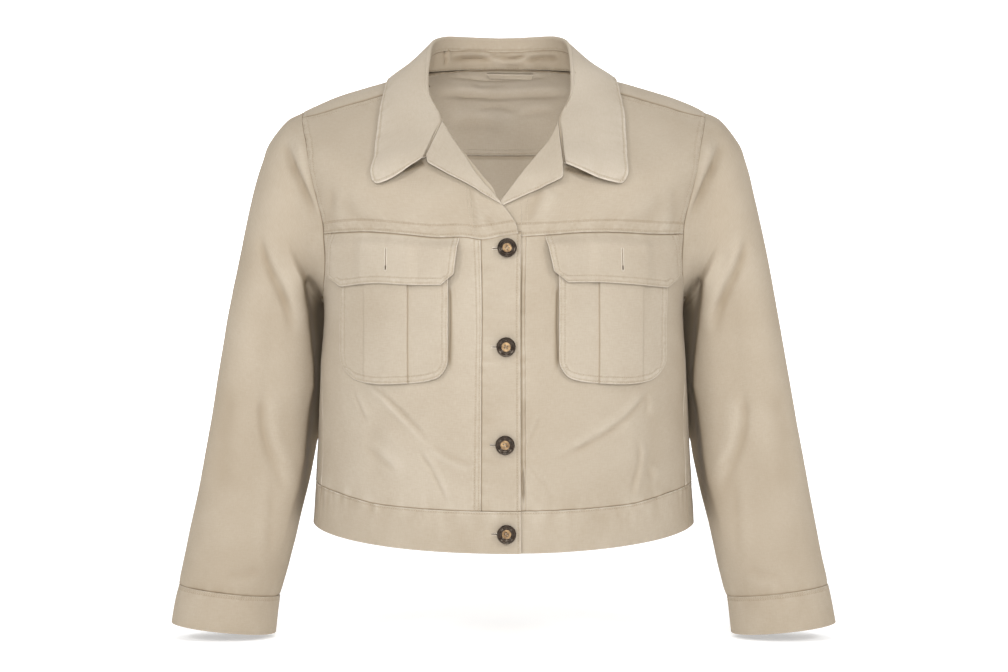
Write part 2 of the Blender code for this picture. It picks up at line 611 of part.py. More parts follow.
for side, word in ((RIGHT, "right"), (LEFT, "left")):
    inner, outer, corner = POCKET["inner"], POCKET["outer"], POCKET["corner"]
    first_line, second_line = POCKET["pleat_inner"], POCKET["pleat_outer"]
    heights = [POCKET["top"], -0.195, -0.217, -0.240, -0.262]
    heights += [POCKET["bottom"] + corner * (1 - math.sin(math.radians(turn))) for turn in (0, 22, 45, 68, 90)]
    rows = []
    for z in heights:
        drop = max(0.0, POCKET["bottom"] + corner - z)
        cut = corner - math.sqrt(max(0.0, corner ** 2 - drop ** 2))
        rows.append([inner + cut, (inner + cut + first_line) / 2, first_line - 0.001, first_line + 0.001,
                     (first_line + second_line) / 2, second_line - 0.001, second_line + 0.001,
                     (outer - cut + second_line) / 2, outer - cut])
    across = np.array(rows)
    angle, level = at_front(side * across, np.array(heights)[:, None])
    on_form(f"pocket_{word}", np.stack([angle, level], -1), lap(angle, side) + pocket_out(across))

    lines = [first_line - 0.012, first_line - 0.001, (first_line + second_line) / 2, second_line + 0.001,
             second_line + 0.012]
    across = np.stack([[*np.linspace(inner, lines[0], 4)[:-1], *lines, *np.linspace(lines[-1], outer, 4)[1:]]
                       for inner, outer in FLAP_ROWS[:, 2:]])
    share = (across - across[:, :1]) / (across[:, -1:] - across[:, :1])
    height = FLAP_ROWS[:, 0:1] * (1 - share) + FLAP_ROWS[:, 1:2] * share
    angle, level = at_front(side * across, height)
    on_form(f"flap_{word}", np.stack([angle, level], -1), lap(angle, side) + flap_out(across))

# Buttons, turned discs with a raised rim
for number, (x, z) in enumerate(BUTTON_PLACES, 1):
    angle, level = at_front(x, z)
    centre = Vector(on_body(angle, level, lap(angle, RIGHT) + LAID))
    facing = Vector(body_normal(angle, level)).to_track_quat("Z", "Y").to_matrix().to_4x4()
    work = bmesh.new()
    profile = [work.verts.new((radius, 0, height)) for radius, height in BUTTON_PROFILE]
    spine = [work.edges.new(pair) for pair in zip(profile, profile[1:])]
    bmesh.ops.spin(work, geom=profile + spine, cent=(0, 0, 0), axis=(0, 0, 1), angle=math.tau, steps=20)
    bmesh.ops.remove_doubles(work, verts=work.verts, dist=0.00005)
    bmesh.ops.recalc_face_normals(work, faces=work.faces)
    bmesh.ops.transform(work, matrix=Matrix.Translation(centre) @ facing, verts=work.verts)
    for face in work.faces:
        face.smooth = True
    mesh = bpy.data.meshes.new(f"button_{number}")
    work.to_mesh(mesh)
    work.free()
    add_object(f"button_{number}", mesh, HORN, 0.35)

# Hanger loop inside the back neck
grid = patch(level_run(158, 192, 0.983, 6), level_run(158, 192, 0.993, 6), angle_run(158, 0.983, 0.993, 2),
             angle_run(192, 0.983, 0.993, 2))
on_form("hanger_loop", grid, -TWILL - 1.2 * SEAM)
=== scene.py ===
"""Cropped military jacket in washed cotton twill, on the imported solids' form.

Metres, +Z up. The wearer faces -Y and the wearer's right is at -X.
"""
import math

import bmesh
import bpy
import numpy as np
from mathutils import Matrix, Vector


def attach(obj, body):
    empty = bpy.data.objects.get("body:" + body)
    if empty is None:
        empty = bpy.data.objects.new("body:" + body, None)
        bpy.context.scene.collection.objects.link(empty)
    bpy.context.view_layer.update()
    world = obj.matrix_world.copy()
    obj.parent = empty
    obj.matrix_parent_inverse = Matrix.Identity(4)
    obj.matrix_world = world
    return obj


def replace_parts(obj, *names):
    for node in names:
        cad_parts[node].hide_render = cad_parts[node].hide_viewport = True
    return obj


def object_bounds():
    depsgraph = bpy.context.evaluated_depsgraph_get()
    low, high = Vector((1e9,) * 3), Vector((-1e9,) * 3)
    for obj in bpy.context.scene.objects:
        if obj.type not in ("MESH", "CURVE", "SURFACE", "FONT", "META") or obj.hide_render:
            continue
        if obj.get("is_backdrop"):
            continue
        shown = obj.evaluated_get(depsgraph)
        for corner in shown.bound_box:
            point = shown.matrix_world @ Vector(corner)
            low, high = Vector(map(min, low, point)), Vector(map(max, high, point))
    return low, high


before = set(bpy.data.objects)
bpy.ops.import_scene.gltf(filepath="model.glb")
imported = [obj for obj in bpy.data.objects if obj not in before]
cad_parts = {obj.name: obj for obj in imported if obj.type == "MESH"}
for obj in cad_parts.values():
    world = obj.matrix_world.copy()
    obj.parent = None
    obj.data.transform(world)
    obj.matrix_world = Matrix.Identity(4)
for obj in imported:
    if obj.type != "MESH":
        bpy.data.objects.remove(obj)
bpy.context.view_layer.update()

# Lower fronts
# Two panels of washed cotton twill between the hem band and the yoke seam. Each is tucked under the yoke and into the
# band and lies over its placket, the right one with two rows of topstitching. Long creases hang from the pockets.
RIGHT, LEFT = -1, 1
SIDES = ((RIGHT, "right"), (LEFT, "left"))
MM = 0.001
# Single twill, the gap under a piece laid on another, and how far the overlap moves the fronts out and in
TWILL, LAID, LAPS_OUT, LAPS_IN = 0.0012, 0.0006, 0.0016, 0.0032
HEM, BAND_SEAM, YOKE_SEAM, NECK = 0.0, 0.09, 0.68, 1.0
PLACKET_SEAM, FRONT_EDGE, YOKE_END, BAND_SIDE, SHOULDER_SEAM = 6.5, 5.0, 66.5, 73.0, 80.0
SIDE_ROUND = 0.22
FORM = np.array([
    # level, front_y, front_z, side_x, side_y, side_z, back_y, back_z
    (0.00, -0.138, -0.4765, 0.2022, 0.010, -0.4560, 0.116, -0.4600),
    (0.09, -0.140, -0.434, 0.1996, 0.010, -0.4175, 0.115, -0.4205),
    (0.24, -0.143, -0.360, 0.1962, 0.010, -0.3500, 0.111, -0.3530),
    (0.38, -0.146, -0.296, 0.1945, 0.010, -0.2920, 0.113, -0.2940),
    (0.54, -0.146, -0.226, 0.1910, 0.010, -0.2230, 0.121, -0.2240),
    (0.68, -0.137, -0.158, 0.2035, 0.012, -0.1500, 0.125, -0.1400),
    (0.84, -0.128, -0.115, 0.2165, 0.012, -0.0230, 0.112, -0.0500),
    (0.88, -0.125, -0.107, 0.1860, 0.011, -0.0080, 0.104, -0.0270),
    (0.93, -0.122, -0.099, 0.1420, 0.008, 0.0058, 0.092, 0.0010),
    (1.00, -0.114, -0.085, 0.0840, 0.002, 0.0205, 0.067, 0.0310),
])
BAND_RISE = 0.0118
SIDE_SEAM = [(BAND_SIDE, BAND_SEAM + BAND_RISE), (74.0, 0.24), (79.0, 0.38), (86.0, 0.552)]
ARMHOLE = np.array([
    # degrees round the figure, level, degrees round the sleeve, from the shoulder seam down the front and up the back
    (SHOULDER_SEAM, 0.842, 24), (65.5, 0.820, 50), (61.5, 0.772, 74), (YOKE_END, YOKE_SEAM, 105),
    (69.0, 0.634, 122), (75.0, 0.590, 142), (86.0, 0.552, 170), (99.0, 0.560, 198),
    (110.0, 0.596, 222), (117.0, 0.670, 254), (112.0, 0.790, 306), (95.0, 0.840, 354),
])
AT_SHOULDER, AT_FRONT_YOKE, AT_SIDE_SEAM, AT_BACK_YOKE = 0, 3, 6, 10
# Creases seen from the front, in mm: the side the ridge is on, half width, depth, then points of x and height
FRONT_CREASES = [
    (-1, 2, 1.7, (-140, -303), (-131.5, -309.4), (-98.6, -339.4), (-84.2, -354.3), (-69, -370.5)),
    (-1, 2.4, 1.3, (-76, -365), (-53.3, -379.2), (-27, -389)),
    (1, 1.9, 1.2, (-88, -370), (-73.3, -392.2), (-63.3, -412.1), (-55, -432)),
    (1, 1.8, 1.2, (-154, -314), (-147, -330.4), (-139, -348)),
    (1, 3.4, 1.2, (-145, -370), (-125, -384.2), (-105, -398)),
    (1, 9, 1.2, (-128, -345), (-131.1, -375), (-125.1, -416)),
    (-1, 2.8, 1.8, (156, -308), (132.1, -335.4), (106.2, -355.3), (75.3, -372.3), (46, -385)),
    (1, 2.4, 1.2, (148, -320), (144.1, -340)),
    (1, 2.2, 1.4, (136.1, -362), (137.9, -385.2), (132.1, -407.2), (125.5, -428)),
    (1, 3, 1, (147.7, -393), (153, -407)),
    (-1, 11, 1, (150, -330), (153, -365), (150, -405)),
    (-1, 1.8, 0.8, (40, -336), (32, -352), (24, -370)),
    (1, 1.6, 0.8, (23, -388), (40, -406), (52, -424)),
    (-1, 1.3, 3, (18.3, -388), (19.5, -409), (19, -427)),
    (1, 1.8, 1.2, (-33.5, -104), (-30.6, -121.3), (-27.1, -147.3), (-24, -162)),
    (1, 5, 2.2, (40, -104), (31, -125), (22, -148)),
    (-1, 2.4, 1, (-20, -134), (-12, -146), (-6, -154)),
    (1, 2.4, 1, (-21, -148), (-13, -140), (-9, -132)),
    (1, 5, 1.2, (-176, -100), (-178, -130), (-177, -157)),
    (-1, 5, 1.2, (176, -102), (178, -130), (177, -157)),
    (1, 7, 1, (-168, -112), (-150, -138), (-118, -150)),
    (-1, 7, 1, (168, -112), (150, -138), (118, -150)),
]
BACK_CREASES = [
    (1, 6, 3, (-105, -120), (-97, -230), (-80, -330), (-78, -400)),
    (-1, 6, 3, (100, -130), (94, -240), (86, -340), (85, -410)),
    (1, 5, 2.2, (-30, -220), (10, -280), (50, -330)),
    (1, 4, 1.8, (-150, -300), (-115, -335), (-60, -360), (-20, -372)),
    (-1, 4, 1.8, (155, -305), (125, -345), (80, -380), (30, -395)),
    (1, 3, 1.4, (20, -60), (34, -120), (30, -180)),
    (1, 3, 3.4, (-78, 4), (-40, 6.2), (-12, 4.4), (30, 6), (78, 5)),
    (-1, 1.8, 1.6, (-70, 23.8), (-45, 23.2), (-10, 21.2), (20, 23.4), (60, 24.2)),
    (-1, 2.2, 1.4, (-40, 18.5), (-15, 15), (8, 18)),
    (-1, 3, 1.6, (-34, -10), (-12, -6), (20, -11)),
    (1, 3, 1.4, (12, -18), (36, -12), (60, -14)),
    (1, 6, 1.6, (-60, -30), (-30, -24), (10, -32)),
]
# Painted shadow on the fronts, in mm: half width, strength, then points of x and height. It lies under the collar's
# notches, along the overlap's edge and beside the pockets' inner edges, where light is kept off
PAINTED_FRONT_SHADOWS = [
    (2.6, 16, (-103, -90.8), (-89, -85.6), (-80, -81.6)),
    (2, 16, (62.2, -88.4), (70, -91.6), (80, -94.4), (92, -96.8)),
    (0.6, 14, (18.6, -164), (17.8, -225), (17.9, -295), (18.1, -360), (18.4, -440)),
]
for side in (RIGHT, LEFT):
    PAINTED_FRONT_SHADOWS += [(1, 10, (side * 53, -208), (side * 52.6, -250), (side * 54, -293)),
                     (0.6, 3, (side * 49.4, -206), (side * 49.8, -250), (side * 52.8, -298))]
# The cloth's unevenness: height, size and seed
UNEVEN = ((0.0007, 0.045, 0), (0.0003, 0.017, 3))
LATTICE = np.random.default_rng(11).random((32, 32, 32))


def smooth_through(keys, values, at):
    """Values between the keys on one smooth curve, with the slope at each key set by its neighbours."""
    keys, values, at = (np.asarray(part, float) for part in (keys, values, at))
    step = np.diff(keys)
    rise = np.diff(values, axis=0) / step[:, None]
    before, after = step[:-1, None], step[1:, None]
    inner = (rise[:-1] * after + rise[1:] * before) / (before + after)
    slope = np.concatenate([rise[:1], inner, rise[-1:]])
    place = np.clip(np.searchsorted(keys, at, side="right") - 1, 0, len(step) - 1)
    span = step[place][..., None]
    t = (at - keys[place])[..., None] / span
    ends = values[place] * (1 + 2 * t) * (1 - t) ** 2 + values[place + 1] * t ** 2 * (3 - 2 * t)
    return ends + span * (slope[place] * t * (1 - t) ** 2 - slope[place + 1] * t ** 2 * (1 - t))


def unit(runs):
    """Directions of length one."""
    return runs / np.maximum(np.linalg.norm(runs, axis=-1, keepdims=True), 1e-12)


def ease(share):
    """A soft step from 0 to 1."""
    share = np.clip(share, 0.0, 1.0)
    return share * share * (3 - 2 * share)


def body(angle, level):
    """Points of the figure's form: degrees round it (0 in front, 90 at the wearer's left) and level."""
    angle, level = np.broadcast_arrays(np.asarray(angle, float), np.asarray(level, float))
    columns = np.moveaxis(smooth_through(FORM[:, 0], FORM[:, 1:], level), -1, 0)
    front_y, front_z, side_x, side_y, side_z, back_y, back_z = columns
    turn = np.radians(angle)
    ahead = np.cos(turn)
    end_y, end_z = np.where(ahead >= 0, front_y, back_y), np.where(ahead >= 0, front_z, back_z)
    lift = (np.hypot(ahead, SIDE_ROUND) - SIDE_ROUND) / (math.hypot(1, SIDE_ROUND) - SIDE_ROUND)
    return np.stack([side_x * np.sin(turn), side_y + (end_y - side_y) * np.abs(ahead),
                     side_z + (end_z - side_z) * lift], -1)


def body_normal(angle, level):
    """Outward directions of the form."""
    across = body(np.add(angle, 0.5), level) - body(np.subtract(angle, 0.5), level)
    up = body(angle, np.add(level, 0.004)) - body(angle, np.subtract(level, 0.004))
    return unit(np.cross(across, up))


def at_front(x, z):
    """Degrees and level of the form's points that are seen from the front at x and height z."""
    x, z = np.broadcast_arrays(np.asarray(x, float), np.asarray(z, float))
    low, high = np.zeros(x.shape), np.full(x.shape, 1.04)
    for _ in range(30):
        level = (low + high) / 2
        side_x = smooth_through(FORM[:, 0], FORM[:, 3:4], level)[..., 0]
        angle = np.degrees(np.arcsin(np.clip(x / side_x, -1, 1)))
        below = body(angle, level)[..., 2] < z
        low, high = np.where(below, level, low), np.where(below, high, level)
    return angle, level


def lap(angle, side):
    """How far the fronts move out or in where the right one laps over the left."""
    if side == RIGHT:
        return LAPS_OUT * ease((np.asarray(angle) + PLACKET_SEAM) / 10)
    return -LAPS_IN * ease((13 - np.asarray(angle)) / 18)


def wander(points, size, seed=0.0):
    """Smooth uneven values from -1 to 1 that change over about this size."""
    at = np.asarray(points, float) / size + 9.7 + seed * 5.31
    cell = np.floor(at).astype(int)
    share = ease(at - cell)
    value = 0.0
    for corner in np.ndindex(2, 2, 2):
        weight = np.prod(np.where(np.array(corner) == 1, share, 1 - share), -1)
        value = value + weight * LATTICE[tuple(np.moveaxis((cell + corner) % len(LATTICE), -1, 0))]
    return 2 * value - 1


def run_length(points):
    """Lengths along a run of points from its start."""
    return np.concatenate([[0], np.cumsum(np.linalg.norm(np.diff(points, axis=0), axis=1))])


def read(at, keys, values):
    """Rows of values at places between the keys."""
    return np.stack([np.interp(at, keys, column) for column in values.T], -1)


def run_through(points, count):
    """A smooth run of count steps through a few points, even along its length."""
    points = np.asarray(points, float)
    keys = run_length(points)
    fine = smooth_through(keys, points, np.linspace(0, keys[-1], 40 * len(points)))
    length = run_length(fine)
    return read(np.linspace(0, length[-1], count + 1), length, fine)


def beside(points, places):
    """How far points are to the left of a line seen from the front, and the share along it of the nearest place."""
    flat, path = points[..., [0, 2]], run_through(np.array(places) * MM, 18)
    best = np.full(flat.shape[:-1], 1e9)
    aside, share = np.zeros(best.shape), np.zeros(best.shape)
    for number, (start, end) in enumerate(zip(path, path[1:])):
        run = end - start
        from_start = flat - start
        along = np.clip(from_start @ run / (run @ run), 0, 1)
        distance = np.linalg.norm(from_start - along[..., None] * run, axis=-1)
        nearer = distance < best
        best = np.where(nearer, distance, best)
        turned = np.sign(run[0] * from_start[..., 1] - run[1] * from_start[..., 0])
        aside = np.where(nearer, distance * turned, aside)
        share = np.where(nearer, (number + along) / (len(path) - 1), share)
    return aside, share


def creased(points, rows):
    """How far the creases move the cloth: a trough with a softer ridge beside it, uneven and fading at both ends."""
    moved = np.zeros(points.shape[:-1])
    for ridge, half_width, depth, *places in rows:
        aside, share = beside(points, places)
        aside = aside * ridge / (half_width * MM)
        ends = ease(share / 0.25) * ease((1 - share) / 0.3) * np.exp(-(aside / 5) ** 4)
        uneven = 1 + 0.4 * wander(points, 0.014, ridge + half_width)
        moved += depth * MM * ends * uneven * (0.75 * np.exp(-((aside - 2.4) / 1.8) ** 2) - np.exp(-aside ** 2))
    return moved


def draped(angle, level, out):
    """Points, outward directions and creasing of the cloth over the form. The painted shadows on the fronts count as
    deeper creases and darken only the colour.
    """
    points, normal = body(angle, level), body_normal(angle, level)
    in_front = points[..., 1] < 0
    moved = np.where(in_front, creased(points, FRONT_CREASES), creased(points, BACK_CREASES))
    away = out + moved + sum(height * wander(points, size, seed) for height, size, seed in UNEVEN)
    for half_width, strength, *places in PAINTED_FRONT_SHADOWS:
        aside, share = beside(points, places)
        fading = ease(share / 0.1) * ease((1 - share) / 0.15)
        moved = moved - in_front * strength * MM * fading * np.exp(-(aside / half_width / MM) ** 2)
    return points + away[..., None] * normal, normal, moved


def line(points, tall=100):
    """A seam through a few points, as a function of the share along it. A level counts as much as 100 degrees."""
    fine = run_through(np.asarray(points, float)[:, :2] * (1, tall), 240) / (1, tall)
    return lambda share: read(share, np.linspace(0, 1, 241), fine)


def polyline(points, tall=100):
    """A run of many points as a function of the share along it."""
    points = np.asarray(points)[:, :2]
    length = run_length(points * (1, tall))
    return lambda share: read(share, length / length[-1], points)


def joined(*lines):
    """Seams that follow each other as one, and the shares where they meet."""
    fine = np.concatenate([part(np.linspace(0, 1, 200)) for part in lines])
    length = run_length(fine * (1, 100))
    length /= length[-1]
    return (lambda share: read(share, length, fine)), [length[200 * k - 1] for k in range(1, len(lines))]


def armhole(side, first, last):
    """The armhole seam between two of its rows."""
    steps = np.arange(-1, 2 * len(ARMHOLE) + 1)
    rows = ARMHOLE[steps % len(ARMHOLE)] + np.array([0, 0, 360]) * (steps // len(ARMHOLE))[:, None]
    return smooth_through(steps, rows, np.linspace(first, last, 80)) * (side, 1, 1)


def fill(edges, u, v, hold=1):
    """Places inside four edges (bottom, top, left, right) at shares across and up."""
    bottom, top, left, right = edges
    across, up = u[..., None], v[..., None]
    ruled, first, last = ((1 - up) * bottom(at) + up * top(at) for at in (u, np.zeros(1), np.ones(1)))
    return ruled + (1 - across) ** hold * (left(v) - first) + across ** hold * (right(v) - last)


def on_form(edges, out, hold=1):
    """A surface over the form between four edges given as degrees and level."""
    def surface(u, v):
        angle, level = np.moveaxis(fill(edges, u, v, hold), -1, 0)
        return draped(angle, level, out(angle))
    return surface


class Wire:
    """A shader socket that takes part in sums like a number."""

    def __init__(self, tree, socket=None):
        self.tree, self.socket = tree, socket

    def node(self, kind, settings, inputs, output):
        """Any node: its type, its settings, its socket values or links, and the output that is wanted."""
        made = self.tree.nodes.new(kind)
        for key, value in settings.items():
            setattr(made, key, value)
        for key, value in inputs.items():
            if isinstance(value, Wire):
                self.tree.links.new(value.socket, made.inputs[key])
            else:
                made.inputs[key].default_value = value
        return Wire(self.tree, made.outputs[output])

    def math(self, operation, *values):
        return self.node("ShaderNodeMath", {"operation": operation}, dict(enumerate(values)), 0)

    def __add__(self, other):
        return self.math("ADD", self, other)

    def __sub__(self, other):
        return self.math("SUBTRACT", self, other)

    def __mul__(self, other):
        return self.math("MULTIPLY", self, other)

    def held(self, low, high):
        """This value brought from low to high into 0 to 1."""
        return self.node("ShaderNodeMapRange", {}, {"Value": self, "From Min": low, "From Max": high}, 0)

    def blend(self, first, second):
        """A colour between two, by this value."""
        return self.node("ShaderNodeMix", {"data_type": "RGBA"}, {0: self, 6: first, 7: second}, 2)

    def noise(self, place, scale, detail):
        """Cloudy values round 0.5 at a place."""
        return self.node("ShaderNodeTexNoise", {}, {"Vector": place, "Scale": scale, "Detail": detail}, 0)


def colour(red, green, blue):
    """A display colour from 0 to 255 as the shader takes it."""
    parts = [value / 255 for value in (red, green, blue)]
    return tuple(p / 12.92 if p < 0.04045 else ((p + 0.055) / 1.055) ** 2.4 for p in parts) + (1.0,)


def new_material(name):
    """A material with its shader, and the start of its wiring."""
    made = bpy.data.materials.new(name)
    made.use_nodes = True
    return made, made.node_tree.nodes["Principled BSDF"], Wire(made.node_tree)


def cloth_material(name, pale, main, deep, weave=1.0):
    """Washed twill: fine diagonal ribs and uneven yarn. Its edges are paler, partly wear and partly painted highlight,
    and its seams, creases and hollows carry painted shade.
    """
    made, shader, start = new_material(name)
    place = start.node("ShaderNodeUVMap", {"uv_map": "cloth"}, {}, 0)
    solid = start.node("ShaderNodeTexCoord", {}, {}, "Object")
    across, along = (start.node("ShaderNodeSeparateXYZ", {}, {0: place}, axis) for axis in (0, 1))
    slant = across * 5200.0 + along * 3000.0
    rib = slant.math("SINE", slant) * 0.5 + 0.5
    yarn, pick = (start.noise(start.node("ShaderNodeVectorMath", {"operation": "MULTIPLY"}, {0: place, 1: threads}, 0),
                              1.0, 2.0) for threads in ((900.0, 160.0, 1.0), (140.0, 800.0, 1.0)))
    wash, fleck = start.noise(solid, 16.0, 4.0), start.noise(solid, 300.0, 1.5)
    worn_and_shaded, sewn = (start.node("ShaderNodeAttribute", {"attribute_name": word}, {}, "Fac") for word in ("wear_light_and_shade", "sewn"))
    pucker = (fleck - 0.5) * sewn
    worn_and_shaded = worn_and_shaded + pucker * 0.7
    tone = (wash - 0.5) * 0.42 + (yarn - 0.5) * 0.24 * weave + (pick - 0.5) * 0.24 * weave
    cloth = (tone + 0.5).held(0.0, 1.0).blend(deep, main)
    # Negative values darken the cloth towards deep and then towards a near-black painted shadow: painted shade in
    # creases, seam lines, stitch grooves and hollows. Positive values make it paler: partly wear, partly painted
    # highlight.
    cloth = (worn_and_shaded * -1.0).held(0.0, 1.0).blend(cloth, deep)
    cloth = (worn_and_shaded * -1.0).held(1.0, 2.0).blend(cloth, tuple(part * 0.42 for part in deep[:3]) + (1.0,))
    cloth = worn_and_shaded.held(0.0, 1.3).blend(cloth, pale)
    height = rib * 0.35 * weave + yarn * 0.5 * weave + pick * 0.5 * weave + pucker * 2.0
    bump = start.node("ShaderNodeBump", {}, {"Strength": 0.35, "Distance": 0.0003, "Height": height}, 0)
    made.node_tree.links.new(cloth.socket, shader.inputs["Base Color"])
    made.node_tree.links.new(bump.socket, shader.inputs["Normal"])
    shader.inputs["Roughness"].default_value = 0.92
    shader.inputs["Specular IOR Level"].default_value = 0.18
    return made


twill = cloth_material("washed_twill", colour(213, 205, 193), colour(194, 184, 169), colour(150, 135, 114))
thread = cloth_material("sewing_thread", colour(206, 197, 183), colour(196, 186, 171), colour(170, 156, 136), 0.3)


def new_mesh(name, points, faces):
    """A mesh from its points and faces."""
    mesh = bpy.data.meshes.new(name)
    mesh.from_pydata(np.asarray(points).tolist(), [], faces)
    return mesh


def add_piece(mesh, materials, sharp=None):
    """A mesh as a piece of the object that rides on the jacket, smooth except where it turns more than sharp."""
    for material in materials:
        mesh.materials.append(material)
    mesh.polygons.foreach_set("use_smooth", np.ones(len(mesh.polygons), bool))
    if sharp:
        mesh.set_sharp_from_angle(angle=math.radians(sharp))
    made = bpy.data.objects.new(mesh.name, mesh)
    bpy.context.scene.collection.objects.link(made)
    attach(made, "root")
    return made


def grid_runs(grid, ring):
    """Runs along the rows and the columns of a grid."""
    if ring:
        return np.roll(grid, -1, axis=1) - np.roll(grid, 1, axis=1), np.gradient(grid, axis=0)
    return np.gradient(grid, axis=1), np.gradient(grid, axis=0)


def spread(lengths, near, middle):
    """Shares along lines of these lengths, close together near both ends where edges turn and are sewn."""
    first = near / lengths[:, None]
    start = first[:, -1:]
    return np.concatenate([first, start + (1 - 2 * start) * middle, 1 - first[:, ::-1]], 1)


def pattern(lengths, step, extra=()):
    """The close places near an end, and the shares between them."""
    near = NEAR[: max(4, np.searchsorted(NEAR, 0.4 * lengths.min()))]
    count = max(2, round((lengths.max() - 2 * near[-1]) / step))
    return near, np.unique(np.round(np.concatenate([np.linspace(0, 1, count + 1)[1:-1], np.asarray(extra)]), 5))


BOTTOM, TOP, LEFT_EDGE, RIGHT_EDGE = range(4)
NEAR = np.array([0, 0.2, 0.5, 0.9, 1.4, 2.0, 2.7, 3.6, 4.8, 6.0, 7.0, 8.0, 9.2, 10.6, 12.5, 15.0]) * MM
# How far an edge that shows turns down, and for each kind of edge the colour change at it and how far that reaches in.
# Over and free edges are paler, partly wear and partly painted highlight; edges under a neighbour carry a painted
# shadow line
TURNS = {"over": 0.0008, "roll": 0.0026}
EDGE_WEAR_AND_SHADE = {"over": (0.4, 0.0009), "free": (0.4, 0.0009), "under": (-1.5, 0.0009), "low": (-1.6, 0.0020),
        "soft": (-0.5, 0.0011)}
DIPS = ("under", "low", "soft")
# An edge under its neighbour: how far it dips and over what reach, and how far its hidden strip runs on and falls
UNDER_DIP, UNDER_REACH, UNDER_RUN, UNDER_FALL = 0.0006, 0.0009, 0.003, 0.0010
# The wear, painted light and painted shade inside as a share of those outside, and the least length of a sheet
INSIDE_WEAR_AND_SHADE, SHORTEST_FLAT = 0.8, 0.0102
# Colour change where the cloth is puckered (paler where raised and darker where sunk, partly wear and partly painted
# light and shade), creased (mostly painted shade in the troughs, with the shades that count as creases, and paler on
# the ridges), drawn in beside a row of stitches (paler wear) and under the row itself (painted shade in the groove)
PUCKER_WEAR_AND_SHADE, CREASE_SHADE_AND_WASH, BAND_WEAR, ROW_SHADE = 0.36, 0.4, 0.06, -0.72
FULL_PUCKER, FULL_CREASE = 0.0007, 0.003
ROW_HALF, ROW_DEPTH, BAND_FADE = 0.0005, 0.0003, 0.0022


def longer(values, strip, edge):
    """A grid with one more strip along an edge."""
    strip = np.expand_dims(strip, edge // 2)
    return np.concatenate([values, strip] if edge % 2 else [strip, values], edge // 2)


def shell(name, outer, normal, wall, ends, far, wear_light_and_shade, sewn, ring, tuck):
    """A closed thin wall of cloth under a grid of points. An edge that is over a neighbour turns down to it, one that
    is under dips and runs on beneath, and a free one is round."""
    drop, rise, sink = np.zeros((3,) + outer.shape[:2])
    for end, distance in zip(ends, far):
        if end in DIPS:
            sink = np.maximum(sink, UNDER_DIP * np.exp(-(distance / UNDER_REACH) ** 2))
        elif end:
            radius = TURNS.get(end, wall / 2)
            turn = radius - np.sqrt(np.maximum(radius ** 2 - np.maximum(radius - distance, 0) ** 2, 0))
            drop = np.maximum(drop, turn)
            rise = np.maximum(rise, turn * (end == "free"))
            sink = np.maximum(sink, turn * (end == "roll"))
    drop = np.maximum(drop, sink)
    layers = [outer - normal * drop[..., None], outer - normal * (wall + sink - rise)[..., None]]
    for edge, end in enumerate(ends):
        if end not in DIPS:
            continue
        axis, (last, before) = edge // 2, (-1, -4) if edge % 2 else (0, 3)
        out = np.take(normal, last, axis)
        for k, layer in enumerate(layers):
            tip, back = np.take(layer, last, axis), np.take(layer, before, axis)
            beneath = tip + unit(tip - back) * UNDER_RUN - out * UNDER_FALL
            if tuck is not None and edge == BOTTOM:
                beneath = tuck - k * wall * out
            layers[k] = longer(layer, beneath, edge)
        normal, wear_light_and_shade, sewn = (longer(values, np.take(values, last, axis), edge) for values in (normal, wear_light_and_shade, sewn))
    rows, columns = wear_light_and_shade.shape
    count = rows * columns
    number = np.arange(count).reshape(rows, columns)
    if ring:
        number = np.concatenate([number, number[:, :1]], 1)
    quads = np.stack([number[:-1, :-1], number[:-1, 1:], number[1:, 1:], number[1:, :-1]], -1).reshape(-1, 4)
    rims = [number[0], number[-1]] + ([] if ring else [number[:, 0], number[:, -1]])
    rims = [np.stack([rim[:-1], rim[1:], rim[1:] + count, rim[:-1] + count], -1) for rim in rims]
    faces = np.concatenate([quads, quads + count] + rims)
    mesh = new_mesh(name, np.concatenate([layer.reshape(-1, 3) for layer in layers]), faces.tolist())
    work = bmesh.new()
    work.from_mesh(mesh)
    bmesh.ops.recalc_face_normals(work, faces=work.faces)
    work.to_mesh(mesh)
    work.free()
    s, t = (np.concatenate([[0], np.cumsum(np.linalg.norm(np.diff(layers[0], axis=axis), axis=-1).mean(1 - axis))])
            for axis in (1, 0))
    uv = np.stack(np.broadcast_arrays(s[None, :], t[:, None]), -1).reshape(-1, 2)
    index = np.empty(len(mesh.loops), np.int32)
    mesh.loops.foreach_get("vertex_index", index)
    layer = mesh.uv_layers.new(name="cloth")
    layer.data.foreach_set("uv", uv[index % count].astype(np.float32).ravel())
    for word, values in (("wear_light_and_shade", wear_light_and_shade.ravel()), ("sewn", sewn.ravel())):
        store = mesh.attributes.new(word, "FLOAT", "POINT")
        store.data.foreach_set("value", np.concatenate([values, INSIDE_WEAR_AND_SHADE * values]).astype(np.float32))
    return add_piece(mesh, [twill], 50)


# A stitch: its share of the pitch, how far it stands off and its ends dip in half thicknesses, how flat it is, and its
# rings as a share along it and a share of its thickness
STITCH, STITCH_OFF, STITCH_DIP, STITCH_FLAT = 0.88, 0.35, 1.1, 0.8
STITCH_RINGS = [(-0.5, 0.0), (-0.34 / STITCH, 0.75), (0.0, 1.0), (0.34 / STITCH, 0.75), (0.5, 0.0)]
STITCH_FACES = [(0, 1 + (k + 1) % 4, 1 + k) for k in range(4)] + [(9 + k, 9 + (k + 1) % 4, 13) for k in range(4)]
STITCH_FACES += [(1 + r + k, 1 + r + (k + 1) % 4, 5 + r + (k + 1) % 4, 5 + r + k) for r in (0, 4) for k in range(4)]


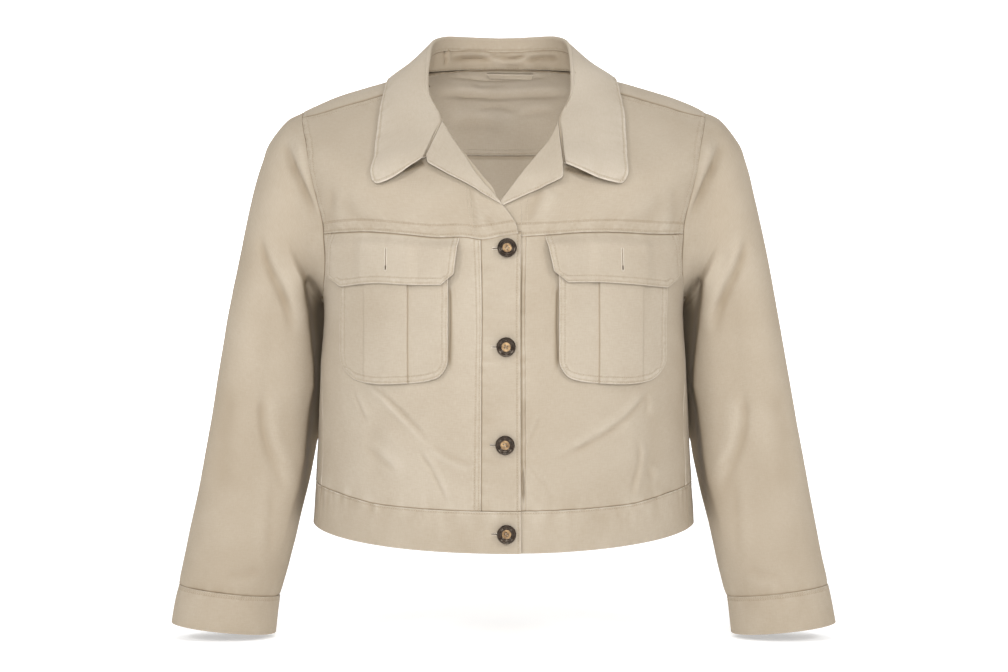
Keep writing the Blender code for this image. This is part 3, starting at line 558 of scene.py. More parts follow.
def sew(name, paths, pitch=0.0026, half=0.00024, yarn=thread):
    """Rows of stitches along paths of points with their outward directions."""
    points, faces = [], []
    for path, normal in paths:
        length = run_length(path)
        count = int(length[-1] / pitch)
        if not count:
            continue
        middle = (np.arange(count) + 0.5) * length[-1] / count
        start, end = (read(middle + reach * STITCH * pitch, length, path) for reach in (-0.5, 0.5))
        out, ahead = unit(read(middle, length, normal)), end - start
        aside = unit(np.cross(ahead, out))
        centre = (start + end) / 2 + out * half * STITCH_OFF
        block = []
        for along, size in STITCH_RINGS:
            bend = centre + ahead * along - out * half * STITCH_DIP * (1 - size)
            for turn in np.radians((0, 90, 180, 270) if size else (0,)):
                block.append(bend + (aside * math.cos(turn) + out * math.sin(turn) * STITCH_FLAT) * half * size)
        first = sum(map(len, points))
        points.append(np.stack(block, 1).reshape(-1, 3))
        bases = range(first, first + len(points[-1]), len(block))
        faces += [[base + corner for corner in face] for base in bases for face in STITCH_FACES]
    return add_piece(new_mesh(name, np.concatenate(points), faces), [yarn])


def edge_path(outer, normal, far, edge, distance, start=0.0, end=1.0):
    """The line on a grid at a distance from one edge, between two shares along that edge."""
    grids = [outer, normal, far[edge]]
    if edge in (BOTTOM, TOP):
        grids = [grid.swapaxes(0, 1) for grid in grids]
    if edge in (TOP, RIGHT_EDGE):
        grids = [grid[:, ::-1] for grid in grids]
    path, out = (np.stack([read(distance, d, row) for d, row in zip(grids[2], grid)]) for grid in grids[:2])
    share = run_length(path)
    share /= max(share[-1], 1e-9)
    keep = (share >= start - 1e-6) & (share <= end + 1e-6)
    return path[keep], out[keep]


def piece(node, surface, wall, ends, puckers=(0, 0, 0, 0), sewn=(), corners=(), step=0.0026, ring=False,
          extra=(), reach=0.010, tone=0.0, tuck=None):
    """One cut piece of cloth as a shell on its surface, puckered and grooved where it is sewn, with its stitches. Ends
    and puckers go by the bottom, top, left and right edges. A sewn row has its edge, its distance and where it runs; a
    corner has its two edges, its size along both, and whether it is clipped or round."""
    coarse = np.linspace(0, 1, 41)
    points = surface(*np.meshgrid(coarse, coarse))[0]
    across = np.linalg.norm(np.diff(points, axis=1), axis=-1).sum(1)
    climb = np.linalg.norm(np.diff(points, axis=0), axis=-1).sum(0)
    near_v, middle_v = pattern(climb, step)
    rows = spread(climb, near_v, middle_v).mean(0)
    width = np.interp(rows, coarse, across)
    if ring:
        u = np.repeat(np.linspace(0, 1, round(across.max() / step), endpoint=False)[None], len(rows), 0)
    else:
        u = spread(width, *pattern(across, step, extra))
    height = np.interp(u.mean(0), coarse, climb)
    v = spread(height, near_v, middle_v).T
    far = [v * height, (1 - v) * height, u * width[:, None], (1 - u) * width[:, None]]
    if ring:
        far[LEFT_EDGE] = far[RIGHT_EDGE] = np.ones(u.shape)
    for row_edge, column_edge, tall, broad, clipped in corners:
        p, q = np.clip(1 - far[row_edge] / tall, 0, 1), np.clip(1 - far[column_edge] / broad, 0, 1)
        inside = (p > 0) & (q > 0)
        share = np.maximum(p, q) / np.maximum(p + q if clipped else np.hypot(p, q), 1e-9)
        row_share, column_share = tall * (1 - p * share) / height, broad * (1 - q * share) / width[:, None]
        v = np.where(inside, row_share if row_edge == BOTTOM else 1 - row_share, v)
        u = np.where(inside, column_share if column_edge == LEFT_EDGE else 1 - column_share, u)
    points, normal, moved = surface(u, v)
    lift, band, groove = np.zeros((3,) + u.shape)
    seed = sum(map(ord, node)) % 97
    for edge, size in enumerate(puckers):
        if size:
            along = u * width[:, None] if edge in (BOTTOM, TOP) else v * height
            place = np.stack([along, far[edge] * 0.35, np.zeros(u.shape)], -1)
            uneven = 0.75 * wander(place, 0.0075, seed + edge) + 0.5 * wander(place, 0.0038, seed + edge + 9)
            lift += size * uneven * np.exp(-(far[edge] / reach) ** 1.3)
    for edge, distance, *limits in sewn:
        start, end = limits or (-1.0, 2.0)
        share = u if edge in (BOTTOM, TOP) else v
        here = ease((share - start) / 0.04) * ease((end + 0.02 - share) / 0.04)
        past = far[edge] - distance
        groove = np.maximum(groove, here * np.exp(-(past / ROW_HALF) ** 2))
        band = np.maximum(band, here * np.where(past < 0, 0.8, np.exp(-(past / BAND_FADE) ** 2)))
    # The colour change per point: the piece's tone lightens or darkens all of it, painted light and shade for how light
    # falls on that piece; the groove, the creases and the shades counted as creases add painted shade; puckers, bands
    # and edges add wear and painted highlight or shadow
    wear_light_and_shade = tone + PUCKER_WEAR_AND_SHADE * np.clip(lift / FULL_PUCKER, -1, 1) + BAND_WEAR * band + ROW_SHADE * groove
    wear_light_and_shade = wear_light_and_shade + CREASE_SHADE_AND_WASH * np.clip(moved / FULL_CREASE, -3.6, 0.5)
    for end, distance in zip(ends, far):
        strength, fade = EDGE_WEAR_AND_SHADE.get(end, (0.0, 1.0))
        wear_light_and_shade = wear_light_and_shade + strength * np.exp(-(distance / fade) ** 2)
    if tuck is not None:
        spot = u[0] * len(tuck)
        low = np.floor(spot).astype(int)
        tuck = tuck[low] + (spot - low)[:, None] * (tuck[(low + 1) % len(tuck)] - tuck[low])
    outer = points + normal * (lift - ROW_DEPTH * groove)[..., None]
    made = shell(f"{node}_cloth", outer, normal, wall, ends, far, wear_light_and_shade, band, ring, tuck)
    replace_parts(made, node)
    paths = [edge_path(outer, normal, far, *row) for row in sewn]
    with_pieces = [sew(f"{node}_stitches", paths)] if sewn else []
    faces = np.linalg.norm(np.cross(points[1:, 1:] - points[:-1, :-1], points[1:, :-1] - points[:-1, 1:]), axis=-1) / 2


YOKE_EDGE = {
    # degrees from the front and level of the yoke seam, which runs in a slight wave
    RIGHT: [(-5.0, 0.6855), (1.0, 0.677), (6.7, 0.670), (9.8, 0.6747), (19.6, 0.6745), (28.7, 0.6811), (42.4, 0.6864),
            (51.0, 0.6846), (YOKE_END, YOKE_SEAM)],
    LEFT: [(-5.0, 0.678), (5.8, 0.6783), (11.8, 0.6807), (21.5, 0.6869), (30.7, 0.6872), (47.7, 0.6812),
           (YOKE_END, YOKE_SEAM)],
}


def yoke_edge(side, start, end):
    """Degrees and levels along part of the yoke seam."""
    angle, keys = np.linspace(start, end, 90), np.array(YOKE_EDGE[side])
    return np.stack([side * angle, smooth_through(keys[:, 0], keys[:, 1:], angle)[:, 0]], -1)


def band_seam(start, end):
    """Degrees and levels along part of the hem band's seam, which rises a little at the wearer's sides."""
    angle = np.linspace(start, end, 120)
    return np.stack([angle, BAND_SEAM + BAND_RISE * ease((np.abs(np.sin(np.radians(angle))) - 0.60) / 0.34)], -1)


# How far the rows of topstitching are from an edge
FIRST_ROW, CLOSE_ROW, SECOND_ROW = 0.0020, 0.0060, 0.0092
for side, word in SIDES:
    lower_armhole = polyline(armhole(side, AT_FRONT_YOKE, AT_SIDE_SEAM)[::-1])
    outer_edge, (meet,) = joined(line(np.array(SIDE_SEAM) * (side, 1)), lower_armhole)
    foot, top = polyline(band_seam(side * PLACKET_SEAM, side * BAND_SIDE)), yoke_edge(side, PLACKET_SEAM, YOKE_END)
    edges = (foot, polyline(top), line([foot(0.0), top[0]]), outer_edge)
    rows = [(RIGHT_EDGE, distance, meet + 0.06, 1) for distance in (FIRST_ROW, SECOND_ROW)]
    rows += [(LEFT_EDGE, FIRST_ROW), (LEFT_EDGE, CLOSE_ROW)] if side == RIGHT else []
    piece(f"front_{word}", on_form(edges, lambda angle: lap(angle, side), 2), TWILL,
          ("under", "under", "over", "over"), (0.0006, 0.0004, 0.0003, 0.0003),
          rows, tone=0.0 if side == RIGHT else -0.2)

# Front yokes
# Single twill over the upper chest. The lower edge is turned and lies over the front with two rows of topstitching;
# two rows also run down the armhole and two close rows along the shoulder seam.
YOKE_START = -4.2
FRONT_OPENING = [
    # degrees and level up the opening from the yoke seam to the shoulder
    (-3.4, 0.712), (-1.6, 0.748), (1.0, 0.800), (3.4, 0.872), (10.3, 0.946), (22.3, 0.988), (37.0, NECK), (50.0, NECK),
    (66.0, NECK), (75.5, NECK),
]
SHOULDER = [(SHOULDER_SEAM, 0.842), (76.2, 0.868), (75.2, 0.905), (75.3, 0.950), (75.5, NECK)]
for side, word in SIDES:
    upper_armhole = polyline(armhole(side, AT_SHOULDER, AT_FRONT_YOKE)[::-1])
    foot = yoke_edge(side, YOKE_START, YOKE_END)
    opening = line(np.concatenate([foot[:1], np.array(FRONT_OPENING) * (side, 1)]))
    edges = (polyline(foot), line(np.array(SHOULDER)[::-1] * (side, 1)), opening, upper_armhole)
    rows = [(edge, distance) for edge in (BOTTOM, RIGHT_EDGE) for distance in (FIRST_ROW, SECOND_ROW)]
    piece(f"front_yoke_{word}", on_form(edges, lambda angle: lap(angle, side)), TWILL, ("over",) * 4,
          (0.0005, 0.0003, 0.0, 0.0005), rows + [(TOP, FIRST_ROW), (TOP, CLOSE_ROW)],
          step=0.003, tone=-0.22)
PLACKET_ROWS = {
    # how far the second row is from the first, then points of the first seen from the front
    RIGHT: (-0.0032, [(-0.0352, -0.1100), (-0.0330, -0.1213), (-0.0296, -0.1473), (-0.0268, -0.1575)]),
    LEFT: (0.0060, [(0.0176, -0.1180), (0.0180, -0.1360), (0.0186, -0.1575)]),
}
for side, word in SIDES:
    second, places = PLACKET_ROWS[side]
    view, paths = run_through(places, 40), []
    for away in (0.0, second):
        angle, level = at_front(view[:, 0] + away, view[:, 1])
        paths.append(draped(angle, level, lap(angle, side))[:2])
    sew(f"front_yoke_{word}_placket_stitches", paths)

# Front plackets
# Doubled strips of the same twill down each front edge, tucked under the fronts' topstitched edges. The wearer's right
# one laps over the left and carries the buttonholes; a row of stitching holds its folded edge.
DOUBLED = 0.0022
for side, word in SIDES:
    foot = line([(-side * FRONT_EDGE, BAND_SEAM), (side * PLACKET_SEAM, BAND_SEAM)])
    top = yoke_edge(side, -FRONT_EDGE, PLACKET_SEAM)
    edges = (foot, polyline(top), line([foot(0.0), top[0]]), line([foot(1.0), top[-1]]))
    piece(f"placket_{word}", on_form(edges, lambda angle: lap(angle, side)), DOUBLED,
          ("under", "soft", "free", "under" if side == RIGHT else "soft"),
          (0.0005, 0.0003, 0.0003, 0.0007), [(LEFT_EDGE, 0.0036)], reach=0.014, step=0.002, tone=-0.2)
pale_thread = cloth_material("buttonhole_thread", colour(228, 221, 211), colour(218, 210, 198), colour(193, 182, 166),
                             0.3)
slit = cloth_material("slit_shade", colour(96, 78, 58), colour(82, 66, 48), colour(60, 46, 32), 0.2)
THREAD_APART, THREAD_LONG, EYELET = 0.00042, 0.0012, 0.0008


def buttonhole(name, points, normal, eyelet=False):
    """Close thread over both edges of a slit, with an eyelet at its last end."""
    ahead = unit(np.gradient(points, axis=0))
    aside = unit(np.cross(ahead, normal))
    near, half_slit = (0.0006, 0.0002) if eyelet else (0.0003, 0.00035)
    length = run_length(points)
    where = np.arange(0, length[-1], THREAD_APART)
    threads = []
    for p, n, a in zip(*(read(where, length, values) for values in (points, normal, aside))):
        threads += [(p + a * turn * near, a * turn, n) for turn in (-1, 1)]
    if eyelet:
        for turn in np.radians(np.arange(-120, 121, 20)):
            out = ahead[-1] * math.cos(turn) + aside[-1] * math.sin(turn)
            threads.append((points[-1] + out * EYELET, out, normal[-1]))
    sew(f"{name}_thread", [(np.stack([p, p + out * THREAD_LONG]), np.stack([n, n])) for p, out, n in threads], 0.0011,
        0.00028, pale_thread)
    wide = np.full(len(points), half_slit)
    wide[0] = 0.00005
    if eyelet:
        wide[-4:] = EYELET
    wide = aside * wide[:, None]
    corners = [points + wide, points + normal * 0.00012, points - wide, points - normal * 0.0003]
    count = len(points)
    faces = [(k * count + r, k * count + r + 1, (k + 1) % 4 * count + r + 1, (k + 1) % 4 * count + r)
             for k in range(4) for r in range(count - 1)]
    faces += [[k * count for k in (3, 2, 1, 0)], [k * count + count - 1 for k in range(4)]]
    add_piece(new_mesh(f"{name}_slit", np.concatenate(corners), faces), [slit], 50)


BUTTON_PLACES = [(0.0035, -0.1712), (0.0025, -0.2695), (0.0015, -0.3673), (0.0030, -0.4563)]
for number, (x, z) in enumerate(BUTTON_PLACES, 1):
    angle, level = at_front(x + np.linspace(0.002, -0.0150, 16), np.full(16, z))
    points, normal, _ = draped(angle, level, lap(angle, RIGHT) + 0.0001)
    buttonhole(f"buttonhole_{number}", points, normal)

# Hem bands
# A doubled band round the waist in three lengths, folded at the hem. Its upper edge lies over the panels and is sewn
# down with one row, which draws it into small upright puckers.
EDGE_ROW = 0.0027


def flush(angle):
    """Cloth that lies right on the form."""
    return 0.0 * angle


for word, side, start, end in (("right", RIGHT, FRONT_EDGE, -BAND_SIDE), ("left", LEFT, -FRONT_EDGE, BAND_SIDE),
                               ("back", None, BAND_SIDE, 360 - BAND_SIDE)):
    top = band_seam(start, end)
    edges = (line([(start, HEM), (end, HEM)]), polyline(top), line([(start, HEM), top[0]]), line([(end, HEM), top[-1]]))
    lapped = (lambda angle: lap(angle, side)) if side else flush
    piece(f"hem_band_{word}", on_form(edges, lapped), DOUBLED,
          ("free", "over") + (("free", "over") if side else ("under", "under")),
          (0.0002, 0.0009, 0.0003, 0.0),
          [(TOP, FIRST_ROW)] + ([(LEFT_EDGE, EDGE_ROW)] if side else []),
          step=0.0026 if side else 0.004, reach=0.016, tone=-0.15)

# Back and back yoke
# The back is one panel from side seam to side seam. The yoke above it wraps forward over the shoulders to the front
# yokes, and its lower edge lies over the back with two rows of topstitching that also show inside the neck.
def other_side(edge):
    """The same edge on the wearer's right."""
    return lambda share: edge(share) * (-1, 1) + (360, 0)


BACK_YOKE_SEAM = [(112.0, 0.790), (145.0, 0.814), (180.0, 0.820), (215.0, 0.814), (248.0, 0.790)]
yoke_seam = line(BACK_YOKE_SEAM)
back_edge, (meet,) = joined(line(SIDE_SEAM), polyline(armhole(LEFT, AT_SIDE_SEAM, AT_BACK_YOKE)))
edges = (polyline(band_seam(BAND_SIDE, 360 - BAND_SIDE)), yoke_seam, back_edge, other_side(back_edge))
rows = [(edge, row, meet + 0.05, 1) for edge in (LEFT_EDGE, RIGHT_EDGE) for row in (FIRST_ROW, SECOND_ROW)]
piece("back_panel", on_form(edges, flush, 4), TWILL, ("under", "soft", "over", "over"),
      (0.0008, 0.0004, 0.0003, 0.0003), rows, step=0.0042)
upper = polyline(armhole(LEFT, AT_BACK_YOKE, len(ARMHOLE))[::-1])
foot, _ = joined(upper, yoke_seam, lambda share: other_side(upper)(1 - share))
shoulder = line(SHOULDER)
edges = (foot, line([SHOULDER[-1], (360 - SHOULDER[-1][0], NECK)]), shoulder, other_side(shoulder))
piece("back_yoke", on_form(edges, flush), TWILL, ("over", "under", "low", "low"),
      (0.0005, 0.0004, 0.0, 0.0), [(BOTTOM, FIRST_ROW), (BOTTOM, SECOND_ROW)], step=0.0036)
paths = []
for rise in (0.0036, 0.0164):
    angle, level = np.moveaxis(yoke_seam(np.linspace(0.1, 0.9, 120)), -1, 0)
    points, normal, _ = draped(angle, level + rise, -TWILL - 0.0001)
    paths.append((points, -normal))
sew("back_yoke_inside_stitches", paths)

# Sleeves
# One tube of twill each, set into the armhole under the body's topstitched edge. The front hangs forward in a long
# fold beside the body, with soft troughs from the shoulder and the elbow.
SLEEVE = np.array([
    # along, outer_x, outer_y, outer_z, inner_x, inner_y, inner_z, half_depth
    (0.03, 0.2299, 0.014, -0.0289, 0.1925, 0.019, -0.2215, 0.062),
    (0.06, 0.2465, 0.014, -0.0498, 0.1916, 0.026, -0.2235, 0.064),
    (0.11, 0.2556, 0.012, -0.0732, 0.1914, 0.034, -0.2280, 0.066),
    (0.20, 0.2678, 0.008, -0.1170, 0.1918, 0.041, -0.2380, 0.066),
    (0.34, 0.2842, 0.000, -0.1992, 0.1922, 0.045, -0.2660, 0.061),
    (0.50, 0.2988, -0.006, -0.2850, 0.1925, 0.043, -0.3140, 0.056),
    (0.66, 0.3122, -0.010, -0.3688, 0.2000, 0.030, -0.3840, 0.051),
    (0.83, 0.3276, -0.014, -0.4536, 0.2170, 0.004, -0.4630, 0.047),
    (1.00, 0.3410, -0.018, -0.5186, 0.2354, -0.008, -0.5322, 0.043),
])
SLEEVE_FOLD = np.array([
    # along, degrees round the sleeve
    (0.00, 112), (0.08, 114), (0.16, 119), (0.32, 128), (0.50, 136), (0.66, 138), (1.00, 140),
])
FOLD_EDGE = np.array([
    # height and x from the centre of the fold's front edge
    (-0.1942, 0.2096), (-0.2202, 0.2078), (-0.2576, 0.2036), (-0.2887, 0.2008), (-0.3115, 0.2003), (-0.3344, 0.2050),
    (-0.3645, 0.2084), (-0.3873, 0.2098), (-0.4100, 0.2130), (-0.4500, 0.2215),
])
FOLD_TOP, FOLD_LOW, FOLD_FORWARD = -0.193, -0.33, 0.011
# The wall behind the fold: degrees round the sleeve from the fold, where it touches the body, and where it leaves it
WALL_TURN, WALL_Y, WALL_LEAVES = 58, 0.040, -0.343
# How much fuller the left sleeve's head is, and how far the sleeve's head runs in and falls under the armhole's edge
LEFT_HEAD_FULLER, TUCK_RUN, TUCK_FALL = 0.0018, 0.004, 0.0016
SLEEVE_CREASES = [
    # on the front of the sleeve, x from the centre, in mm
    (-1, 4.5, 4.8, (232, -52), (212.7, -95.2), (201.6, -119.3), (190, -140)),
    (-1, 4.6, 3.4, (256, -148), (246.5, -181.1), (236.4, -203.8), (227.5, -224.1), (220.5, -266)),
    (-1, 4.6, 2.6, (249, -310), (251, -340), (249, -360.1), (244, -380.2), (236, -400.5),
     (230, -430)),
    (1, 3, 1.2, (238, -380), (230, -393), (221, -401)),
    (1, 4, 1, (240.3, -401.8), (242, -450.3), (245.7, -500)),
    (1, 4, 1, (290, -507), (270, -505), (248, -500)),
    (1, 12, 2, (288, -300), (293, -370), (298, -430)),
]
SLEEVE_BACK_CREASES = [
    (-1, 8, 3, (248, -80), (225, -130), (208, -170)),
    (-1, 9, 3, (270, -220), (245, -290), (230, -350)),
    (1, 7, 2.4, (295, -330), (268, -350), (235, -358)),
    (1, 7, 2, (298, -370), (270, -390), (240, -396)),
]


def sleeve_ring(section, turn, side):
    """Points round one sleeve section."""
    outer, inner = section[:3] * (side, 1, 1), section[3:6] * (side, 1, 1)
    turn = np.radians(turn)[:, None]
    return (outer + inner) / 2 + (outer - inner) / 2 * np.cos(turn) - np.array([0, section[6], 0]) * np.sin(turn)


def between(grid):
    """A surface from rows of points with their directions and creasing, as a function of the shares across and up."""
    rows, columns = grid.shape[:2]

    def surface(u, v):
        r, c = v * (rows - 1), u * (columns - 1)
        low, first = np.clip(np.floor(r), 0, rows - 2).astype(int), np.clip(np.floor(c), 0, columns - 2).astype(int)
        down, right = (r - low)[..., None], (c - first)[..., None]
        mixed = (1 - down) * ((1 - right) * grid[low, first] + right * grid[low, first + 1])
        mixed = mixed + down * ((1 - right) * grid[low + 1, first] + right * grid[low + 1, first + 1])
        return mixed[..., :3], unit(mixed[..., 3:6]), mixed[..., 6]
    return surface


def lattice(grid, side, shape, shade=0.0):
    """A tube's surface from its rings of points, moved by its creases, with painted shade where it is given."""
    across, up = grid_runs(grid, True)
    normal = side * unit(np.cross(across, up))
    grid = np.concatenate([grid + shape[..., None] * normal, normal, (shape - shade)[..., None]], -1)
    return between(np.concatenate([grid, grid[:, :1]], 1))


def tucked(tube, turn, along):
    """The sleeve with its front brought flat up to a sharp fold, its wall behind the fold run back to the body, and how
    much painted shade its hollow gets.
    """
    fold_turn = np.interp(along, SLEEVE_FOLD[:, 0], SLEEVE_FOLD[:, 1])
    edge, behind = (np.stack([read(at, turn, row) for at, row in zip(fold_turn + further, tube)])
                    for further in (0, WALL_TURN))
    fold_turn = fold_turn[:, None]
    past = turn - fold_turn
    shown = 1 - ease((along - 0.66) / 0.30)
    # The front moves out to the fold's edge
    shift = np.zeros_like(edge)
    shift[:, 0] = np.interp(-edge[:, 2], -FOLD_EDGE[:, 0], FOLD_EDGE[:, 1]) - edge[:, 0]
    shift[:, 1] = -FOLD_FORWARD
    shift *= (shown * ease((FOLD_TOP + 0.006 - edge[:, 2]) / 0.016))[:, None]
    front = np.where(past < 0, ease((turn - 86) / (fold_turn - 86)), 1 - ease(past / 60))
    front = tube + front[..., None] * shift[:, None]
    edge = edge + shift
    # The wall behind the fold runs back to where it touches the body, and lower down hangs free of it
    level = np.interp(behind[:, 2], FORM[:6, 5], FORM[:6, 0])
    side_x, side_y, back_y = smooth_through(FORM[:, 0], FORM[:, [3, 4, 6]], level).T
    touching = side_x * np.sqrt(1 - ((WALL_Y - side_y) / (back_y - side_y)) ** 2) + 0.0020
    away = ease((WALL_LEAVES - behind[:, 2]) / 0.03)
    behind[:, 0] = touching + (behind[:, 0] + 0.0010 - touching) * away
    behind[:, 1] = WALL_Y + (behind[:, 1] - WALL_Y) * away
    share = np.clip(past / WALL_TURN, 0, 1)
    wall = edge[:, None] + np.stack([share ** 2.4, share ** 0.75, share], -1) * (behind - edge)[:, None]
    back = ease((past - WALL_TURN) / (187 - fold_turn))[..., None]
    wall = wall * (1 - back) + tube * back
    # The fold opens below the armhole, and its hollow gets the deepest painted shade
    opening = 0.016 + 0.036 * ease((past - 12) / 24)
    fold = ease((FOLD_TOP - tube[..., 2]) / opening) * (shown * ease(along / 0.12))[:, None]
    fold = np.where(past > 0, fold, 0.0)
    depth = ease((past - 20) / 26) * (1 - ease((past - 66) / 24))
    depth = depth * fold * (1 - 0.6 * ease((FOLD_LOW - tube[..., 2]) / 0.06))
    return front + fold[..., None] * (wall - front), depth


for side, word in SIDES:
    stations = armhole(side, 0, len(ARMHOLE))
    places = run_length(body(stations[:, 0], stations[:, 1]))
    angle, level, turn = read(np.linspace(0, places[-1], 241)[:-1], places, stations).T
    under = ease((0.3 - np.cos(np.radians(turn))) / 0.8)[:, None]
    face = body_normal(angle, level)
    first = body(angle, level) + face * (under * 0.0006 - 0.0003)
    rows = SLEEVE.copy()
    if side == LEFT:
        rows[:, 1] += LEFT_HEAD_FULLER * np.exp(-((rows[:, 0] - 0.10) / 0.07) ** 2)
    rings = np.stack([first] + [sleeve_ring(row[1:], turn, side) for row in rows])
    along, shares = np.concatenate([[0.0], SLEEVE[:, 0]]), np.linspace(0, 1, 221) ** 1.15
    tube = smooth_through(along, rings.reshape(len(along), -1), shares).reshape(len(shares), -1, 3)
    mirrored, depth = tucked(tube * (side, 1, 1), turn, shares)
    tube = mirrored * (side, 1, 1)
    around = np.roll(first, -1, axis=0) - np.roll(first, 1, axis=0)
    inward = unit(np.cross(face, around))
    inward *= -np.sign(np.sum(inward * (tube[12] - tube[0])))
    tuck = first + inward * TUCK_RUN - face * TUCK_FALL
    ahead = np.sin(np.radians(turn))
    shape = np.where(ahead > 0, creased(mirrored, SLEEVE_CREASES), creased(mirrored, SLEEVE_BACK_CREASES))
    shape *= ease(np.abs(ahead) / 0.5)
    shape += 0.0009 * wander(tube, 0.055, 2) + 0.0003 * wander(tube, 0.02, 5)
    shape *= ease(shares / 0.012)[:, None]
    shape -= 0.0006 * ease((shares - 0.975) / 0.025)[:, None]
    # Painted shade in the hollow between the sleeve and the body, and a little darker towards the cuff
    shade = 0.012 * depth + 0.0009 * ease((shares - 0.35) / 0.5)[:, None]
    piece(f"sleeve_{word}", lattice(tube, side, shape, shade), TWILL, ("under", "soft", "", ""),
          (0.0003, 0.0005, 0, 0), step=0.0038, ring=True, tuck=tuck,
          tone=-0.24)

# Cuffs
# A doubled plain band closes each sleeve's end. Its upper edge lies over the sleeve and is held by two close rows of
# stitching, and the sleeve's turnings inside make it pucker.
CUFF = np.array([
    (1.00, 0.3411, -0.018, -0.5188, 0.2355, -0.008, -0.5324, 0.0430),
    (1.50, 0.3454, -0.019, -0.5388, 0.2380, -0.010, -0.5518, 0.0435),
    (2.00, 0.3486, -0.020, -0.5590, 0.2402, -0.012, -0.5714, 0.0440),
])
for side, word in SIDES:
    turn = np.linspace(0, 360, 200, endpoint=False)
    rows = smooth_through(CUFF[:, 0], CUFF[:, 1:], np.linspace(1, 2, 30))[::-1]
    tube = np.stack([sleeve_ring(row, turn, side) for row in rows])
    surface = lattice(tube, -side, 0.0004 * wander(tube, 0.03, 4))
    piece(f"cuff_{word}", surface, DOUBLED, ("free", "over", "", ""),
          (0.0002, 0.0005, 0, 0), [(TOP, 0.0014), (TOP, 0.0036)], ring=True, reach=0.014, tone=-0.3)

# Collar and its stand
# The collar is doubled twill that folds over at its roll, with rounded tips and a row of stitching near the edge. The
# stand is the inner strip that joins it to the neck seam.
GORGE = {RIGHT: np.array([(0.0622, -0.0386), (0.0777, -0.0778)]),
         LEFT: np.array([(0.0555, -0.0387), (0.0592, -0.0845)])}
COLLAR_WALL = 0.0018
COLLAR_COLUMNS = "roll_x roll_y roll_z radius strip seam_angle leaf_angle leaf_level lift bulge"
COLLAR_BACK = [
    (0.00, 0.0000, 0.0690, 0.0642, 0.0026, 0.014, 180.0, 180.0, 0.955, 0.0055, 0.002),
    (0.16, 0.0360, 0.0615, 0.0640, 0.0026, 0.014, 150.0, 152.0, 0.954, 0.0050, 0.002),
    (0.32, 0.0600, 0.0420, 0.0612, 0.0026, 0.014, 122.0, 124.0, 0.955, 0.0040, 0.001),
    (0.46, 0.0708, 0.0155, 0.0510, 0.0026, 0.014, 100.0, 100.0, 0.957, 0.0034, 0.000),
    (0.58, 0.0735, -0.0130, 0.0295, 0.0028, 0.009, 84.0, 80.0, 0.9495, 0.0038, 0.002),
    (0.70, 0.0728, -0.0455, -0.0050, 0.0020, 0.003, 69.0, 63.0, 0.9275, 0.0042, 0.004),
]
GORGE_STARTS = 0.82
LEAF_FRONT = {
    # along the collar, then leaf_angle and leaf_level
    RIGHT: [(GORGE_STARTS, 50.4, 0.8985), (0.92, 41.2, 0.8615), (1.00, 34.6, 0.806)],
    LEFT: [(GORGE_STARTS, 49.4, 0.9034), (0.92, 39.8, 0.8675), (1.00, 32.0, 0.815)],
}
SEAM_FRONT, LIFT_FRONT, BULGE_FRONT = 52.0, 0.0042, 0.005
LEAF_SHORTER = {RIGHT: 0.0, LEFT: 0.0045}
COLLAR_SHIFT = -0.0040
COLLAR_ROWS = np.unique(np.concatenate([np.linspace(0, 1, 71), [GORGE_STARTS]]))


def gorge_points(side, along):
    """Points of the collar's side of the gorge seam, lying on the lapel's level, at places along the collar."""
    top, end = GORGE[side] + (0.0006, 0)
    view = top + (end - top) * ((along - GORGE_STARTS) / (1 - GORGE_STARTS))[:, None]
    angle, level = at_front(side * view[:, 0], view[:, 1])
    return (body(angle, level) + body_normal(angle, level) * (LAID + COLLAR_WALL)) * (side, 1, 1)


def collar_half(side):
    """Cross sections of one half of the collar: its stand from the neck seam up, the strip that turns down inside the
    neck, the roll, and the leaf out to its free edge."""
    columns = COLLAR_COLUMNS.split()
    rows = np.array(COLLAR_BACK)
    rows[:, 1 + columns.index("roll_x")] += side * COLLAR_SHIFT
    rows[3:, 1 + columns.index("leaf_level")] += LEAF_SHORTER[side]
    front = np.array(LEAF_FRONT[side])
    turned, raised = (np.tile(values, (len(front), 1)) for values in ((0, 0, SEAM_FRONT), (LIFT_FRONT, BULGE_FRONT)))
    gorge = gorge_points(side, front[:, 0])
    rows = np.concatenate([rows, np.concatenate([front[:, :1], gorge, turned, front[:, 1:], raised], 1)])
    row = dict(zip(columns, smooth_through(rows[:, 0], rows[:, 1:], COLLAR_ROWS).T))
    roll = np.stack([row["roll_x"], row["roll_y"], row["roll_z"]], -1)
    at_gorge = COLLAR_ROWS >= GORGE_STARTS
    roll[at_gorge] = gorge_points(side, COLLAR_ROWS[at_gorge])
    face = body_normal(row["leaf_angle"], row["leaf_level"])
    leaf = body(row["leaf_angle"], row["leaf_level"]) + face * row["lift"][:, None]
    seam = body(row["seam_angle"], NECK)
    toward, aside = unit(leaf - roll), unit((leaf - roll) * (1, 1, 0))
    radius = np.maximum(row["radius"], 0.0)[:, None]
    flat = 0.0012 * (1 - radius / radius.max())
    inside = roll + unit(seam - roll) * row["strip"][:, None]
    foot = seam + unit(inside - seam) * 0.0006
    section = [foot, (foot + inside) / 2, inside, roll + toward * flat,
               roll + toward * 2 * flat + (aside + (0, 0, 1)) * radius, roll + toward * 3 * flat + aside * 2 * radius]
    start = section[-1]
    for share in (0.2, 0.4, 0.6, 0.8, 1.0):
        lift = face * (row["bulge"] * 4 * share * (1 - share))[:, None]
        section.append(start + (leaf - start) * share + lift)
    return np.stack(section, 1) * (side, 1, 1)


def across_sections(sections, count):
    """Smooth rows of points through cross sections."""
    steps = sections.shape[1] - 1
    rows = smooth_through(np.arange(steps + 1), sections.swapaxes(0, 1).reshape(steps + 1, -1),
                          np.linspace(0, steps, count))
    return rows.reshape(count, len(sections), 3)


